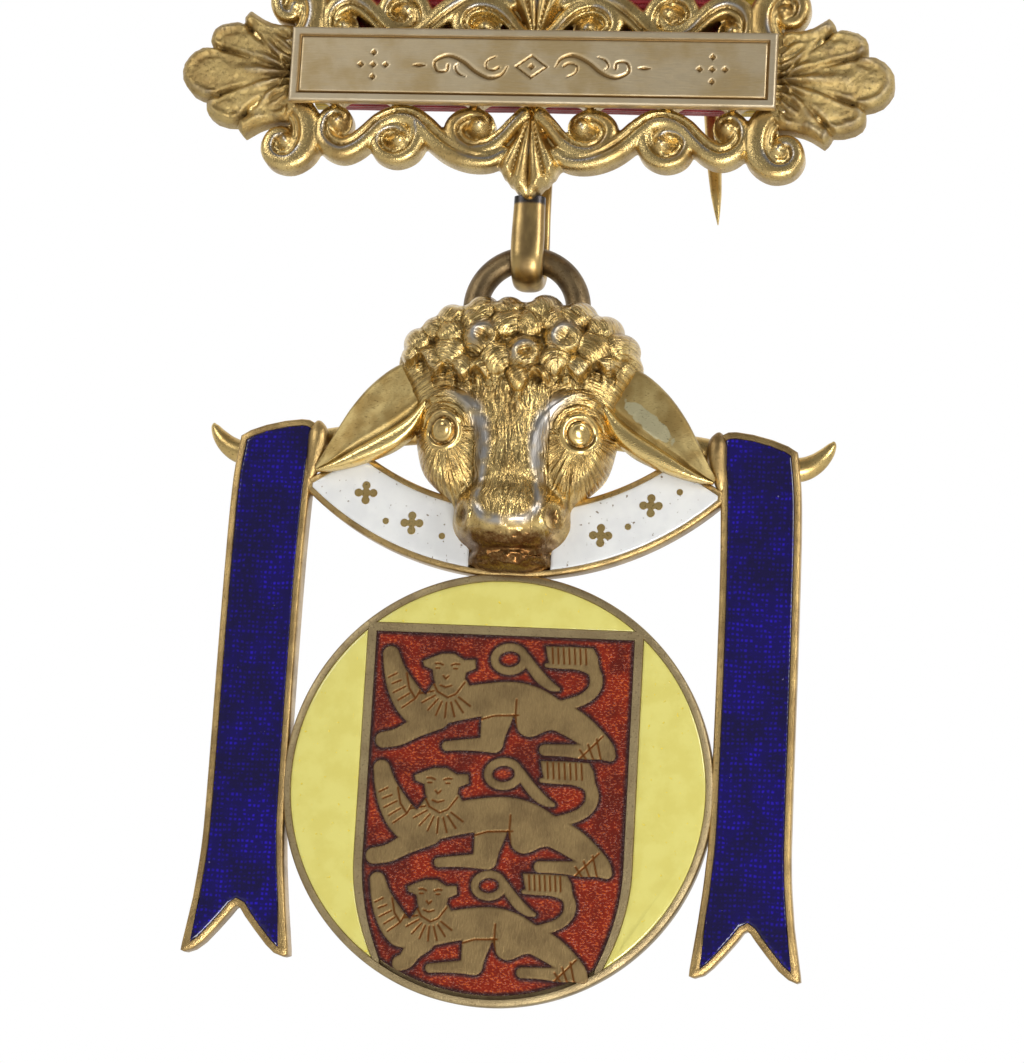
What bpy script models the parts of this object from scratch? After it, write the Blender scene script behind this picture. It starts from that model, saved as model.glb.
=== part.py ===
"""A gilt and enamelled lodge jewel that hangs from a ribbon on a pin bar.

Metres, +Z up, and the front faces -Y. The origin is the middle of the pin bar. The plane y = 0 is
the front of the flat base under the cast relief. Levels called "below" are measured downwards.
"""

import math

import bmesh
import bpy
import numpy as np
from mathutils import Matrix

for old in list(bpy.data.objects):
    bpy.data.objects.remove(old, do_unlink=True)

MM = 0.001

# Clearances and solder
FIT = 0.3 * MM              # between pieces that touch on the real jewel
LAP = 0.3 * MM              # how far soldered metal runs into its neighbour
ENAMEL_GAP = 0.15 * MM      # between enamel and the wall round it

# Pin bar, with its fork, catch and pin
PIN_BAR_HEIGHT = 7.0 * MM
PIN_BAR_OVERHANG = 6.5 * MM     # beyond each edge of the ribbon
PIN_BAR_PROUD = 0.8 * MM        # in front of the base plane
PIN_BEYOND = 1.0 * MM           # of the closed pin's point beyond the pin bar's end
PIN_WIRE = 1.3 * MM
PIN_LEAN = 6.0                  # degrees, point towards +X
PIN_INSET = 3.5 * MM            # from the ribbon's edge to the pin's point
FORK_CHEEK = 0.8 * MM
FORK_HEIGHT = 2.2 * MM

# Ribbon and the rails that it runs round
RIBBON_WIDTH = 38.0 * MM
RIBBON_WALL = 1.0 * MM
RAIL_HEIGHT = 1.8 * MM
RAIL_THICK = 1.0 * MM
POST_WIDTH = 1.6 * MM

# Scroll frame
FRAME_DROP = 24.0 * MM          # from the origin down to the frame's middle line
BASE_THICK = 0.9 * MM
RELIEF = 1.5 * MM               # crown of the scrolls in front of the base plane
SHELL_LENGTH = 9.4 * MM
SHELL_RELIEF = 1.6 * MM
SHELL_FLUTES = 5
SHELL_SPREAD = 60.0             # degrees that the flutes fan out to each side
ROW_DEPTH = 5.4 * MM            # of a scroll row, beyond the plate's lower edge
SCROLL_WIDTH = 1.5 * MM
PALMETTE_LENGTH = 7.7 * MM
PALMETTE_RELIEF = 1.5 * MM
PALMETTE_FLUTES = 7
PALMETTE_SPREAD = 30.0          # degrees, as above

# Plate
PLATE_HEIGHT = 6.4 * MM
PLATE_MARGIN = 1.3 * MM         # beyond each edge of the ribbon
PLATE_THICK = 0.9 * MM
PLATE_BORDER = 0.75 * MM
PLATE_SINK = 0.2 * MM
PLATE_RISE = 0.35 * MM          # of the plate's middle above the frame's

# Hook and ring
HOOK_WIDTH = 2.7 * MM
HOOK_THICK = 1.1 * MM
HOOK_LENGTH = 4.35 * MM         # from the palmette's tip to the ring's wire
RING_RADIUS = 4.33 * MM         # of the wire's middle line
RING_WIRE = 2.1 * MM
RING_CLEARANCE = 0.4 * MM       # round the wire in the hook and in the pendant's loop
LOOP_WIRE = 1.2 * MM

# Pendant: head
HEAD_WIDTH = 20.4 * MM
HEAD_HEIGHT = 22.8 * MM
HEAD_DEPTH = 7.0 * MM
HEAD_WALL = 1.2 * MM            # the rim of the hollow behind
HEAD_HOLLOW = 0.6               # depth of that hollow as a share of the relief in front of it
HEAD_RAYS = 52                  # points round the outline
HEAD_RIM = 0.8 * MM
HEAD_RISE = 0.2 * MM            # of the hair above the ring's middle
CURL_RADIUS = 1.5 * MM
CURL_SPACING = 2.5 * MM
CURL_HEIGHT = 0.8 * MM
EAR_LENGTH = 10.2 * MM
EAR_WIDTH = 6.4 * MM
EAR_THICK = 1.5 * MM
EAR_DROOP = 35.0                # degrees below level
HORN_WIRE = 2.1 * MM
HORN_REACH = 3.0 * MM           # beyond the pennant's outer edge

# Pendant: trays of enamel
TRAY_THICK = 2.0 * MM
TRAY_RIM = 0.42 * MM
ENAMEL_DEPTH = 0.8 * MM
SWAG_RADIUS = 25.5 * MM
SWAG_INNER_RADIUS = 21.4 * MM
SWAG_HEIGHT = 5.9 * MM
PENNANT_WIDTH = 6.5 * MM
PENNANT_LENGTH = 44.4 * MM
PENNANT_BELOW = 10.2 * MM       # from the ring's middle down to the pennants' top
DISC_RADIUS = 17.6 * MM
DISC_RIM = 0.65 * MM
SHIELD_WALL = 0.75 * MM
SIDE_FIELD = 5.6 * MM           # widest yellow beside the shield
TOP_FIELD = 3.75 * MM           # tallest yellow above the shield

# Levels, lengths and depths that follow
PIN_SLOPE = math.sin(math.radians(PIN_LEAN))
PIN_LENGTH = (RIBBON_WIDTH - PIN_INSET + PIN_BAR_OVERHANG + PIN_BEYOND) / (1 + PIN_SLOPE)
BASE_BACK = BASE_THICK
FRAME_Z = -FRAME_DROP
PLATE_HALF = RIBBON_WIDTH / 2 + PLATE_MARGIN
PLATE_SEAT = RELIEF
ROW_START = PLATE_HEIGHT / 2 - PLATE_RISE
PALMETTE_TIP = ROW_START + PALMETTE_LENGTH - LAP
RIBBON_FRONT = BASE_BACK + FIT
RAIL_FRONT = RIBBON_FRONT + RIBBON_WALL + FIT
RAIL_BACK = RAIL_FRONT + RAIL_THICK
RIBBON_BACK = RAIL_BACK + FIT + RIBBON_WALL
RIBBON_END = FRAME_Z - ROW_START + FIT
LOWER_RAIL_Z = RIBBON_END + RIBBON_WALL + FIT + RAIL_HEIGHT / 2
UPPER_RAIL_Z = -RAIL_HEIGHT / 2
RIBBON_TOP = UPPER_RAIL_Z + RAIL_HEIGHT / 2 + FIT + RIBBON_WALL
HOOK_INNER = RING_WIRE / 2 + RING_CLEARANCE
HOOK_FRONT = BASE_BACK - LAP
RING_Y = HOOK_FRONT + HOOK_THICK + HOOK_INNER
HINGE_Z = FRAME_Z - PALMETTE_TIP - HOOK_LENGTH
RING_Z = HINGE_Z - RING_RADIUS
HEAD_BACK = RING_Y - RING_WIRE / 2 - FIT
TRAY_FRONT = HEAD_BACK - 2 * LAP
TRAY_BACK = TRAY_FRONT + TRAY_THICK
TRAY_FLOOR = TRAY_FRONT + ENAMEL_DEPTH
CHIN_BELOW = HEAD_HEIGHT - HEAD_RISE
SWAG_BELOW = CHIN_BELOW + LAP
DISC_BELOW = SWAG_BELOW - LAP + DISC_RADIUS
PENNANT_INNER = DISC_RADIUS - LAP
SHIELD_WIDTH = 2 * (DISC_RADIUS - DISC_RIM - SIDE_FIELD)
SHIELD_RISE = DISC_RADIUS - DISC_RIM - TOP_FIELD    # of its top edge above the disc's middle

# One end shell, from its middle ray: the angle in degrees and the reach as a share of SHELL_LENGTH
SHELL_OUTLINE = [
    (0, 0.990), (4, 0.985), (8, 0.95), (12, 0.91), (15.5, 0.85), (18.3, 0.78),
    (23, 0.81), (28, 0.82), (34, 0.79), (40, 0.73), (45.5, 0.67),
    (50, 0.68), (55.5, 0.695), (60, 0.60), (66, 0.53), (75, 0.47), (90, 0.45),
]

# Half a palmette, from its apex: the angle in degrees and the reach as a share of PALMETTE_LENGTH
PALMETTE_OUTLINE = [
    (0, 1.0), (7, 0.985), (13, 0.945), (20, 0.895), (26, 0.80), (30, 0.72), (24, 0.42), (40, 0.12),
]

# A quarter of the scroll work. Columns: across as a share of PLATE_HALF, down from the row's start as
# a share of ROW_DEPTH, width as a share of SCROLL_WIDTH
SCROLLS = {
    "end": [
        (1.153, 0.07, 0.85), (1.084, -0.05, 1.10), (1.015, -0.05, 1.25), (0.956, 0.13, 1.30),
        (0.933, 0.41, 1.30), (0.946, 0.67, 1.25), (0.995, 0.85, 1.00), (1.054, 0.83, 0.87),
        (1.084, 0.67, 0.80), (1.069, 0.48, 0.73), (1.030, 0.44, 0.67), (1.010, 0.56, 0.60),
    ],
    "stem": [
        (0.803, 0.24, 0.60), (0.788, 0.13, 0.60), (0.823, 0.08, 0.67), (0.855, 0.19, 0.75),
        (0.862, 0.39, 0.87), (0.837, 0.57, 1.00), (0.783, 0.66, 1.05), (0.729, 0.59, 1.00),
        (0.680, 0.43, 0.93), (0.626, 0.22, 0.87), (0.562, 0.11, 0.87), (0.498, 0.13, 0.93),
        (0.443, 0.28, 1.00), (0.394, 0.46, 1.05), (0.325, 0.65, 1.05), (0.246, 0.77, 0.93),
        (0.167, 0.78, 0.80), (0.108, 0.67, 0.60),
    ],
    "middle": [
        (0.473, 0.24, 0.80), (0.468, 0.44, 0.80), (0.498, 0.67, 0.80), (0.557, 0.77, 0.75),
        (0.616, 0.69, 0.73), (0.638, 0.48, 0.67), (0.601, 0.32, 0.65), (0.547, 0.31, 0.60),
        (0.522, 0.44, 0.60), (0.542, 0.54, 0.60),
    ],
    "inner": [
        (0.212, 0.30, 0.60), (0.197, 0.17, 0.60), (0.236, 0.08, 0.67), (0.291, 0.15, 0.80),
        (0.320, 0.31, 0.87), (0.300, 0.52, 0.87), (0.246, 0.63, 0.87), (0.177, 0.59, 0.80),
        (0.123, 0.44, 0.73), (0.079, 0.24, 0.67), (0.034, 0.06, 0.67),
    ],
}

# Half the head's outline, hair to chin. Columns: across as a share of half HEAD_WIDTH, down from the
# top of the hair as a share of HEAD_HEIGHT
HEAD_OUTLINE = [
    (0.00, 0.000), (0.25, 0.002), (0.51, 0.020), (0.73, 0.066), (0.88, 0.132), (0.99, 0.210),
    (1.00, 0.263), (0.92, 0.325), (0.85, 0.417), (0.805, 0.535), (0.75, 0.632), (0.62, 0.706),
    (0.50, 0.760), (0.485, 0.842), (0.41, 0.912), (0.34, 0.948), (0.31, 0.985), (0.15, 1.000),
    (0.00, 1.000),
]

# Rounded masses of the head, those off the middle line on both sides of it. Columns: across, down,
# half width, half height, relief. The widths are shares of half HEAD_WIDTH, the heights of
# HEAD_HEIGHT and the relief of HEAD_DEPTH
HEAD_MASSES = [
    (0.00, 0.26, 1.10, 0.29, 0.62),      # hair
    (0.00, 0.45, 0.90, 0.38, 0.56),      # skull
    (0.00, 0.60, 0.34, 0.36, 0.80),      # bridge of the nose
    (0.00, 0.80, 0.48, 0.17, 0.92),      # muzzle
    (0.00, 0.96, 0.36, 0.07, 0.52),      # chin
    (0.52, 0.62, 0.34, 0.18, 0.50),      # cheeks
    (0.48, 0.43, 0.28, 0.10, 0.66),      # brows
    (0.56, 0.52, 0.17, 0.07, 0.68),      # eyes
]

# Rows of curls: the row's height as a share of HEAD_HEIGHT and its half width as a share of half
# HEAD_WIDTH
CURL_ROWS = [(0.045, 0.42), (0.115, 0.72), (0.195, 0.86), (0.275, 0.80)]

# A pennant. Columns: down as a share of PENNANT_LENGTH, inner edge and outer edge out from
# PENNANT_INNER as shares of PENNANT_WIDTH
PENNANT_SIDES = [
    (0.035, -0.09, 0.90), (0.13, -0.04, 0.97), (0.33, 0.00, 1.00), (0.70, 0.01, 1.02),
    (0.81, -0.02, 1.04), (0.90, -0.08, 1.10),
]
PENNANT_TOP = [(0.000, 0.15), (0.000, 0.32), (0.012, 0.62)]      # down, across, as above
PENNANT_TIPS = [(1.00, -0.18), (0.955, 0.22), (0.915, 0.53), (0.955, 0.84), (1.00, 1.22)]

# One lion, facing left. Each limb is a stroke of points: along and up as shares of the lion's length
# and height, and half the stroke's width as a share of the height
LION_LIMBS = {
    "body": [(0.28, 0.42, 0.13), (0.42, 0.48, 0.13), (0.53, 0.52, 0.15), (0.65, 0.43, 0.12),
             (0.76, 0.36, 0.11), (0.86, 0.28, 0.11)],
    "head": [(0.28, 0.90, 0.06), (0.28, 0.83, 0.23), (0.28, 0.76, 0.15), (0.28, 0.60, 0.10)],
    "mane": [(0.14, 0.40, 0.07), (0.25, 0.43, 0.14), (0.38, 0.47, 0.08)],
    "raised_paw": [(0.20, 0.40, 0.11), (0.13, 0.46, 0.11), (0.08, 0.62, 0.08), (0.05, 0.86, 0.07)],
    "far_foreleg": [(0.35, 0.32, 0.06), (0.24, 0.25, 0.08), (0.13, 0.12, 0.08), (0.03, 0.12, 0.07)],
    "foreleg": [(0.50, 0.42, 0.13), (0.50, 0.25, 0.11), (0.49, 0.09, 0.07)],
    "forefoot": [(0.50, 0.09, 0.06), (0.30, 0.08, 0.05)],
    "hind_leg": [(0.80, 0.34, 0.13), (0.90, 0.22, 0.11), (0.94, 0.09, 0.07)],
    "hind_foot": [(0.94, 0.09, 0.07), (0.68, 0.08, 0.06)],
    "tail": [(0.78, 0.46, 0.05), (0.88, 0.53, 0.06), (0.89, 0.68, 0.06), (0.87, 0.90, 0.06)],
    "tuft": [(0.86, 0.93, 0.07), (0.70, 0.92, 0.08)],
    "tail_strand": [(0.73, 0.63, 0.04), (0.58, 0.85, 0.05)],
    "tail_knot": [(0.48, 0.86, 0.09), (0.57, 0.88, 0.09)],
}

# Lions down the shield: middle, foot, length and height, as shares of the shield's inner half width
# across and of SHIELD_RISE upwards from the disc's middle
LIONS = [
    (-0.02, 0.23, 1.80, 0.66),
    (-0.02, -0.49, 1.80, 0.68),
    (-0.10, -1.13, 1.56, 0.58),
]

GILT = {"colour": (0.62, 0.42, 0.14), "roughness": 0.3, "metallic": 1.0}
PALE_GILT = {"colour": (0.55, 0.45, 0.28), "roughness": 0.4, "metallic": 1.0}
OLD_GILT = {"colour": (0.30, 0.20, 0.09), "roughness": 0.4, "metallic": 1.0}
SILK = {"colour": (0.36, 0.02, 0.03), "roughness": 0.7, "metallic": 0.0}
WHITE = {"colour": (0.85, 0.85, 0.82), "roughness": 0.2, "metallic": 0.0}
BLUE = {"colour": (0.02, 0.01, 0.30), "roughness": 0.15, "metallic": 0.0}
YELLOW = {"colour": (0.85, 0.78, 0.22), "roughness": 0.2, "metallic": 0.0}
RED = {"colour": (0.45, 0.05, 0.02), "roughness": 0.15, "metallic": 0.0}


def material(name, finish):
    """A Principled material of one colour."""
    made = bpy.data.materials.new(name)
    made.use_nodes = True
    shader = made.node_tree.nodes["Principled BSDF"]
    shader.inputs["Base Color"].default_value = (*finish["colour"], 1)
    shader.inputs["Roughness"].default_value = finish["roughness"]
    shader.inputs["Metallic"].default_value = finish["metallic"]
    return made


def solid(name, points, faces):
    """An object from points and faces, with its faces turned outwards."""
    mesh = bpy.data.meshes.new(name)
    mesh.from_pydata([tuple(p) for p in points], [], [tuple(f) for f in faces])
    bm = bmesh.new()
    bm.from_mesh(mesh)
    bmesh.ops.recalc_face_normals(bm, faces=bm.faces[:])
    bm.to_mesh(mesh)
    bm.free()
    made = bpy.data.objects.new(name, mesh)
    bpy.context.scene.collection.objects.link(made)
    return made


def stack(name, rings):
    """A closed solid from rings of equal length: a face on the first, walls between, one on the last."""
    count = len(rings[0])
    points = np.vstack(rings)
    faces = [range(count), range((len(rings) - 1) * count, len(rings) * count)]
    for level in range(len(rings) - 1):
        for k in range(count):
            after = (k + 1) % count
            low, high = level * count, (level + 1) * count
            faces.append((low + k, low + after, high + after, high + k))
    return solid(name, points, faces)


def ring_at(outline, y):
    """The outline's points (x, z) at one depth y."""
    outline = np.asarray(outline)
    return np.column_stack([outline[:, 0], np.full(len(outline), y), outline[:, 1]])


def slab(name, outline, front, back):
    """A flat plate of the outline's shape, from depth front to depth back."""
    return stack(name, [ring_at(outline, front), ring_at(outline, back)])


def box(name, low, high):
    """A box between two corners."""
    outline = [(low[0], low[2]), (high[0], low[2]), (high[0], high[2]), (low[0], high[2])]
    return slab(name, outline, low[1], high[1])


def inset(outline, distance):
    """The outline moved inwards by distance, mitred at its corners."""
    points = np.asarray(outline)
    before = points - np.roll(points, 1, axis=0)
    after = np.roll(points, -1, axis=0) - points
    area = np.sum(points[:, 0] * np.roll(points[:, 1], -1) - np.roll(points[:, 0], -1) * points[:, 1])
    turn = math.copysign(1, area)

    def inward(edge):
        edge = edge / np.linalg.norm(edge, axis=1)[:, None]
        return np.column_stack([-edge[:, 1], edge[:, 0]]) * turn

    first, second = inward(before), inward(after)
    middle = first + second
    scale = 2 / np.maximum(np.sum(middle * middle, axis=1), 0.6)
    return points + middle * scale[:, None] * distance


def tray(name, outline, front, back, rim, depth):
    """A plate whose front is sunk by depth inside a rim."""
    inner = inset(outline, rim)
    rings = [ring_at(outline, back), ring_at(outline, front), ring_at(inner, front)]
    return stack(name, rings + [ring_at(inner, front + depth)])


def smooth(points, steps):
    """A smooth curve through the points, with steps stretches between each two of them."""
    p = np.asarray(points, dtype=float)
    ends = np.vstack([2 * p[0] - p[1], p, 2 * p[-1] - p[-2]])
    t = np.linspace(0, 1, steps, endpoint=False)[:, None]
    stretches = []
    for k in range(len(p) - 1):
        a, b, c, d = ends[k:k + 4]
        stretches.append(0.5 * (2 * b + (c - a) * t + (2 * a - 5 * b + 4 * c - d) * t ** 2
                                + (3 * b - a - 3 * c + d) * t ** 3))
    return np.vstack(stretches + [p[-1:]])


def sweep(name, path, facing, profile, widths, heights, sink=0.0):
    """A bar along a flat path.

    facing is the unit direction that the path's plane faces. A profile point has three numbers: across
    in half widths, out along facing in heights, and back against facing in multiples of sink.
    """
    path = np.asarray(path)
    facing = np.asarray(facing, dtype=float)
    along = np.gradient(path, axis=0)
    across = np.cross(along, facing)
    across /= np.linalg.norm(across, axis=1)[:, None]
    rings = []
    for point, side, width, height in zip(path, across, widths, heights):
        rings.append([point + side * a * width / 2 + facing * (b * height - c * sink)
                      for a, b, c in profile])
    return stack(name, rings)


def torus(name, centre, first, second, radius, wire, turns, sides):
    """A round wire bent into a circle about centre, in the plane of two unit directions."""
    a = (2 * math.pi * np.arange(turns) / turns)[:, None, None]
    b = (2 * math.pi * (np.arange(sides) + 0.5) / sides)[None, :, None]
    out = first * np.cos(a) + second * np.sin(a)
    points = centre + out * (radius + wire / 2 * np.cos(b)) + np.cross(first, second) * wire / 2 * np.sin(b)
    faces = []
    for i in range(turns):
        for j in range(sides):
            step, after = (j + 1) % sides, (i + 1) % turns
            faces.append((i * sides + j, i * sides + step, after * sides + step, after * sides + j))
    return solid(name, points.reshape(-1, 3), faces)


def round_profile(sides):
    """A circle of radius one half height, for a round bar swept along its middle line."""
    turns = [2 * math.pi * (k + 0.5) / sides for k in range(sides)]
    return [(math.cos(t), math.sin(t) / 2, 0) for t in turns]


def relief(name, outline, centre, shares, height, back):
    """A cast plate whose flat back is at depth back and whose front rises by height(x, z).

    The outline is seen whole from the centre; rings of points run between them at the given shares.
    """
    outline, centre = np.asarray(outline), np.asarray(centre)
    rings = [ring_at(outline, back)]
    for share in reversed(shares):
        flat = centre + (outline - centre) * share
        ring = ring_at(flat, 0.0)
        ring[:, 1] = -height(flat[:, 0], flat[:, 1])
        rings.append(ring)
    return stack(name, rings)


def fuse(target, others, operation="UNION", solver="EXACT"):
    """Joins, or cuts, the target with the other solids, which are left as hidden wires."""
    group = bpy.data.collections.new(f"{target.name} {operation.lower()} {len(target.modifiers)}")
    bpy.context.scene.collection.children.link(group)
    for other in others:
        bpy.context.scene.collection.objects.unlink(other)
        group.objects.link(other)
        other.hide_render = True
        other.display_type = "WIRE"
    modifier = target.modifiers.new(operation.title(), "BOOLEAN")
    modifier.operation = operation
    modifier.solver = solver
    modifier.operand_type = "COLLECTION"
    modifier.collection = group
    return target


def finish(made, finish_material, smooth_angle=None):
    """Gives a piece its material, and smooth shading up to an angle in degrees."""
    made.data.materials.append(finish_material)
    if smooth_angle is not None:
        made.data.shade_smooth()
        made.data.set_sharp_from_angle(angle=math.radians(smooth_angle))


def hang(piece, pivot):
    """Makes the piece swing with the pivot, and leaves it where it is."""
    piece.parent = pivot
    piece.matrix_parent_inverse = Matrix.Translation(-pivot.location)


def mirrored(outline):
    """The outline on the other side of the jewel, in the same turning order."""
    return [(-x, z) for x, z in reversed(list(outline))]


def below(u, v):
    """The point u across and v below the ring's middle, as x and z."""
    return (u, RING_Z - v)


def arc(radius, start, end, count, centre=(0.0, 0.0)):
    """Points on an arc between two angles in radians, from +X towards +Z."""
    turns = np.linspace(start, end, count)
    return [(centre[0] + radius * math.cos(t), centre[1] + radius * math.sin(t)) for t in turns]


# Pin bar: a plain bar with a rail for the ribbon, a fork for the pin and a catch for its point

def pin_bar():
    half = RIBBON_WIDTH / 2 + PIN_BAR_OVERHANG
    bar = box("top_bar", (-half, -PIN_BAR_PROUD, -PIN_BAR_HEIGHT / 2),
              (half, BASE_BACK, PIN_BAR_HEIGHT / 2))
    parts = rail_and_posts("upper_rail", UPPER_RAIL_Z)
    pin_x, pin_y, fork_z = pin_seat()
    inner = PIN_WIRE / 2 + FIT
    for side in (-1, 1):
        near, far = pin_x + side * inner, pin_x + side * (inner + FORK_CHEEK)
        parts.append(box("fork_cheek", (min(near, far), BASE_BACK - LAP, fork_z),
                         (max(near, far), pin_y + PIN_WIRE, fork_z + FORK_HEIGHT)))
    catch_x = pin_x - PIN_LENGTH + 3 * FORK_CHEEK
    lip = pin_y + PIN_WIRE / 2 + FIT
    parts.append(box("catch_wall", (catch_x, BASE_BACK - LAP, fork_z),
                     (catch_x + 2 * FORK_CHEEK, lip + FORK_CHEEK, fork_z + FORK_CHEEK)))
    parts.append(box("catch_lip", (catch_x, lip, fork_z),
                     (catch_x + 2 * FORK_CHEEK, lip + FORK_CHEEK, fork_z + FORK_HEIGHT)))
    return fuse(bar, parts)


def rail_and_posts(name, z):
    """The rail that the ribbon runs round, and the two posts that hold it."""
    reach = RIBBON_WIDTH / 2 + FIT
    low, high = z - RAIL_HEIGHT / 2, z + RAIL_HEIGHT / 2
    made = [box(name, (-reach - POST_WIDTH / 2, RAIL_FRONT, low),
                (reach + POST_WIDTH / 2, RAIL_BACK, high))]
    for side in (-1, 1):
        near, far = side * reach, side * (reach + POST_WIDTH)
        made.append(box(f"{name}_post", (min(near, far), BASE_BACK - LAP, low - LAP / 3),
                        (max(near, far), RAIL_BACK + LAP / 3, high + LAP / 3)))
    return made


def pin_seat():
    """Where the pin's head lies in its fork: x, y and the fork's lower end z."""
    across = RIBBON_WIDTH / 2 - PIN_INSET - PIN_LENGTH * PIN_SLOPE
    return across, RIBBON_BACK + FIT + PIN_WIRE / 2, RIBBON_TOP + FIT


def brooch_pin():
    pin_x, pin_y, fork_z = pin_seat()
    head = np.array([pin_x, pin_y, fork_z + FORK_HEIGHT / 2])
    lean = math.radians(PIN_LEAN)
    down = np.array([math.sin(lean), 0, -math.cos(lean)])
    shares = [0.0, 0.70, 0.85, 0.95, 1.0]
    thick = [1.0, 1.0, 0.85, 0.5, 0.15]
    path = [head + down * PIN_LENGTH * share for share in shares]
    widths = [PIN_WIRE * t for t in thick]
    return sweep("brooch_pin", path, (0, -1, 0), round_profile(10), widths, widths)


def ribbon():
    """A flat loop of ribbon round both rails, seen from the side as an outline with a hollow."""
    bottom, top = RIBBON_END, RIBBON_TOP
    outer = [(RIBBON_FRONT, bottom), (RIBBON_BACK, bottom), (RIBBON_BACK, top), (RIBBON_FRONT, top)]
    corner = RIBBON_WALL + FIT
    rounded = []
    for k, (y, z) in enumerate(outer):
        middle_y, middle_z = (RIBBON_FRONT + RIBBON_BACK) / 2, (bottom + top) / 2
        inward = (y + math.copysign(corner, middle_y - y), z + math.copysign(corner, middle_z - z))
        start = math.radians(180 + 90 * k)
        rounded += arc(corner, start, start + math.pi / 2, 4, inward)
    hollow = inset(rounded, RIBBON_WALL)
    half = RIBBON_WIDTH / 2
    loops = []
    for side, loop in ((-half, rounded), (half, rounded), (half, hollow), (-half, hollow)):
        loops.append([(side, y, z) for y, z in loop])
    count = len(rounded)
    faces = []
    for level in range(4):
        after = (level + 1) % 4
        for k in range(count):
            step = (k + 1) % count
            faces.append((level * count + k, level * count + step,
                          after * count + step, after * count + k))
    return solid("ribbon", np.vstack(loops), faces)


# Scroll frame: shells, palmettes and scrolls on a thin base, with the ribbon's rail and the hook

def flutes(angle, count, spread):
    """One in the middle of each flute and nought in the furrows between, over the fan's spread."""
    return np.abs(np.cos(angle * math.pi * count / (2 * spread)))


def shell(side):
    root = PLATE_HALF + LAP
    half = [(math.radians(a), r * SHELL_LENGTH) for a, r in SHELL_OUTLINE]
    fan = [(-a, r) for a, r in reversed(half)] + half[1:]
    outline = [(side * (root + r * math.cos(a)), FRAME_Z + r * math.sin(a)) for a, r in fan]
    hidden = ROW_START - LAP
    outline += [(side * (PLATE_HALF - 3 * LAP), FRAME_Z + level) for level in (hidden, -hidden)]

    def height(x, z):
        out, up = np.abs(x) - root, z - FRAME_Z
        reach = np.hypot(out, up) / SHELL_LENGTH
        angle = np.arctan2(up, np.maximum(out, 1e-6))
        rise = np.clip(reach * 2.2, 0, 1)
        lobe = 0.55 + 0.45 * flutes(angle, SHELL_FLUTES, math.radians(SHELL_SPREAD))
        fall = 1 - 0.5 * np.clip(reach * 1.9 - 0.9, 0, 1) ** 2
        return SHELL_RELIEF * (0.25 + 0.75 * rise * lobe * fall)

    centre = (side * (root + SHELL_LENGTH * 0.36), FRAME_Z)
    return relief(f"shell_{side}", outline, centre, (0.35, 0.7, 1.0), height, BASE_BACK)


def palmette(turn):
    apex = FRAME_Z - turn * (ROW_START - LAP)
    half = [(math.radians(a), r * PALMETTE_LENGTH) for a, r in PALMETTE_OUTLINE]
    fan = [(-a, r) for a, r in reversed(half)] + half[1:]
    outline = [(r * math.sin(a), apex - turn * r * math.cos(a)) for a, r in fan]

    def height(x, z):
        down = turn * (apex - z)
        reach = np.hypot(x, down) / PALMETTE_LENGTH
        angle = np.arctan2(x, np.maximum(down, 1e-6))
        lobe = 0.6 + 0.4 * flutes(angle, PALMETTE_FLUTES, math.radians(PALMETTE_SPREAD))
        swell = np.sin(np.clip(reach, 0.12, 1) * math.pi * 0.8)
        return PALMETTE_RELIEF * np.maximum(swell * lobe, 0.2)

    centre = (0, apex - turn * PALMETTE_LENGTH * 0.62)
    return relief(f"palmette_{turn}", outline, centre, (0.4, 0.75, 1.0), height, BASE_BACK)


def scroll(name, side, turn, lift):
    """One scroll of the work. lift sinks its back a little, so that no two backs lie in one plane."""
    table = smooth(SCROLLS[name], 2 if name == "stem" else 1)
    path = np.zeros((len(table), 3))
    path[:, 0] = side * table[:, 0] * PLATE_HALF
    path[:, 2] = FRAME_Z - turn * (ROW_START + table[:, 1] * ROW_DEPTH)
    widths = table[:, 2] * SCROLL_WIDTH
    heights = RELIEF * (0.45 + 0.55 * np.minimum(table[:, 2], 1.0))
    profile = [(-1, 0, 1), (-0.82, 0.6, 0), (0, 1, 0), (0.82, 0.6, 0), (1, 0, 1)]
    sink = BASE_BACK - lift
    return sweep(f"scroll_{name}_{side}_{turn}", path, (0, -1, 0), profile, widths, heights, sink)


def hook():
    """A strap from the palmette's tip, round the ring's wire and back up to the palmette."""
    middle = HOOK_INNER + HOOK_THICK / 2
    front, rear = RING_Y - middle, RING_Y + middle
    start = FRAME_Z - PALMETTE_TIP + PALMETTE_LENGTH * 0.25
    end = RIBBON_END - FIT - HOOK_THICK / 2
    path = [(front, start), (front, HINGE_Z)]
    path += arc(middle, math.pi, 2 * math.pi, 9, (RING_Y, HINGE_Z))[1:]
    bend = HOOK_THICK
    path += [(rear, end - bend)] + arc(bend, 0, math.pi / 2, 4, (rear - bend, end - bend))[1:]
    path += [(BASE_BACK - LAP, end)]
    path = [(0.0, y, z) for y, z in path]
    profile = [(-1, -0.5, 0), (-1, 0.5, 0), (0.4, 0.5, 0), (1, 0.3, 0), (1, -0.3, 0), (0.4, -0.5, 0)]
    return sweep("hook", path, (1, 0, 0), profile, [HOOK_THICK] * len(path), [HOOK_WIDTH] * len(path))


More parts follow.
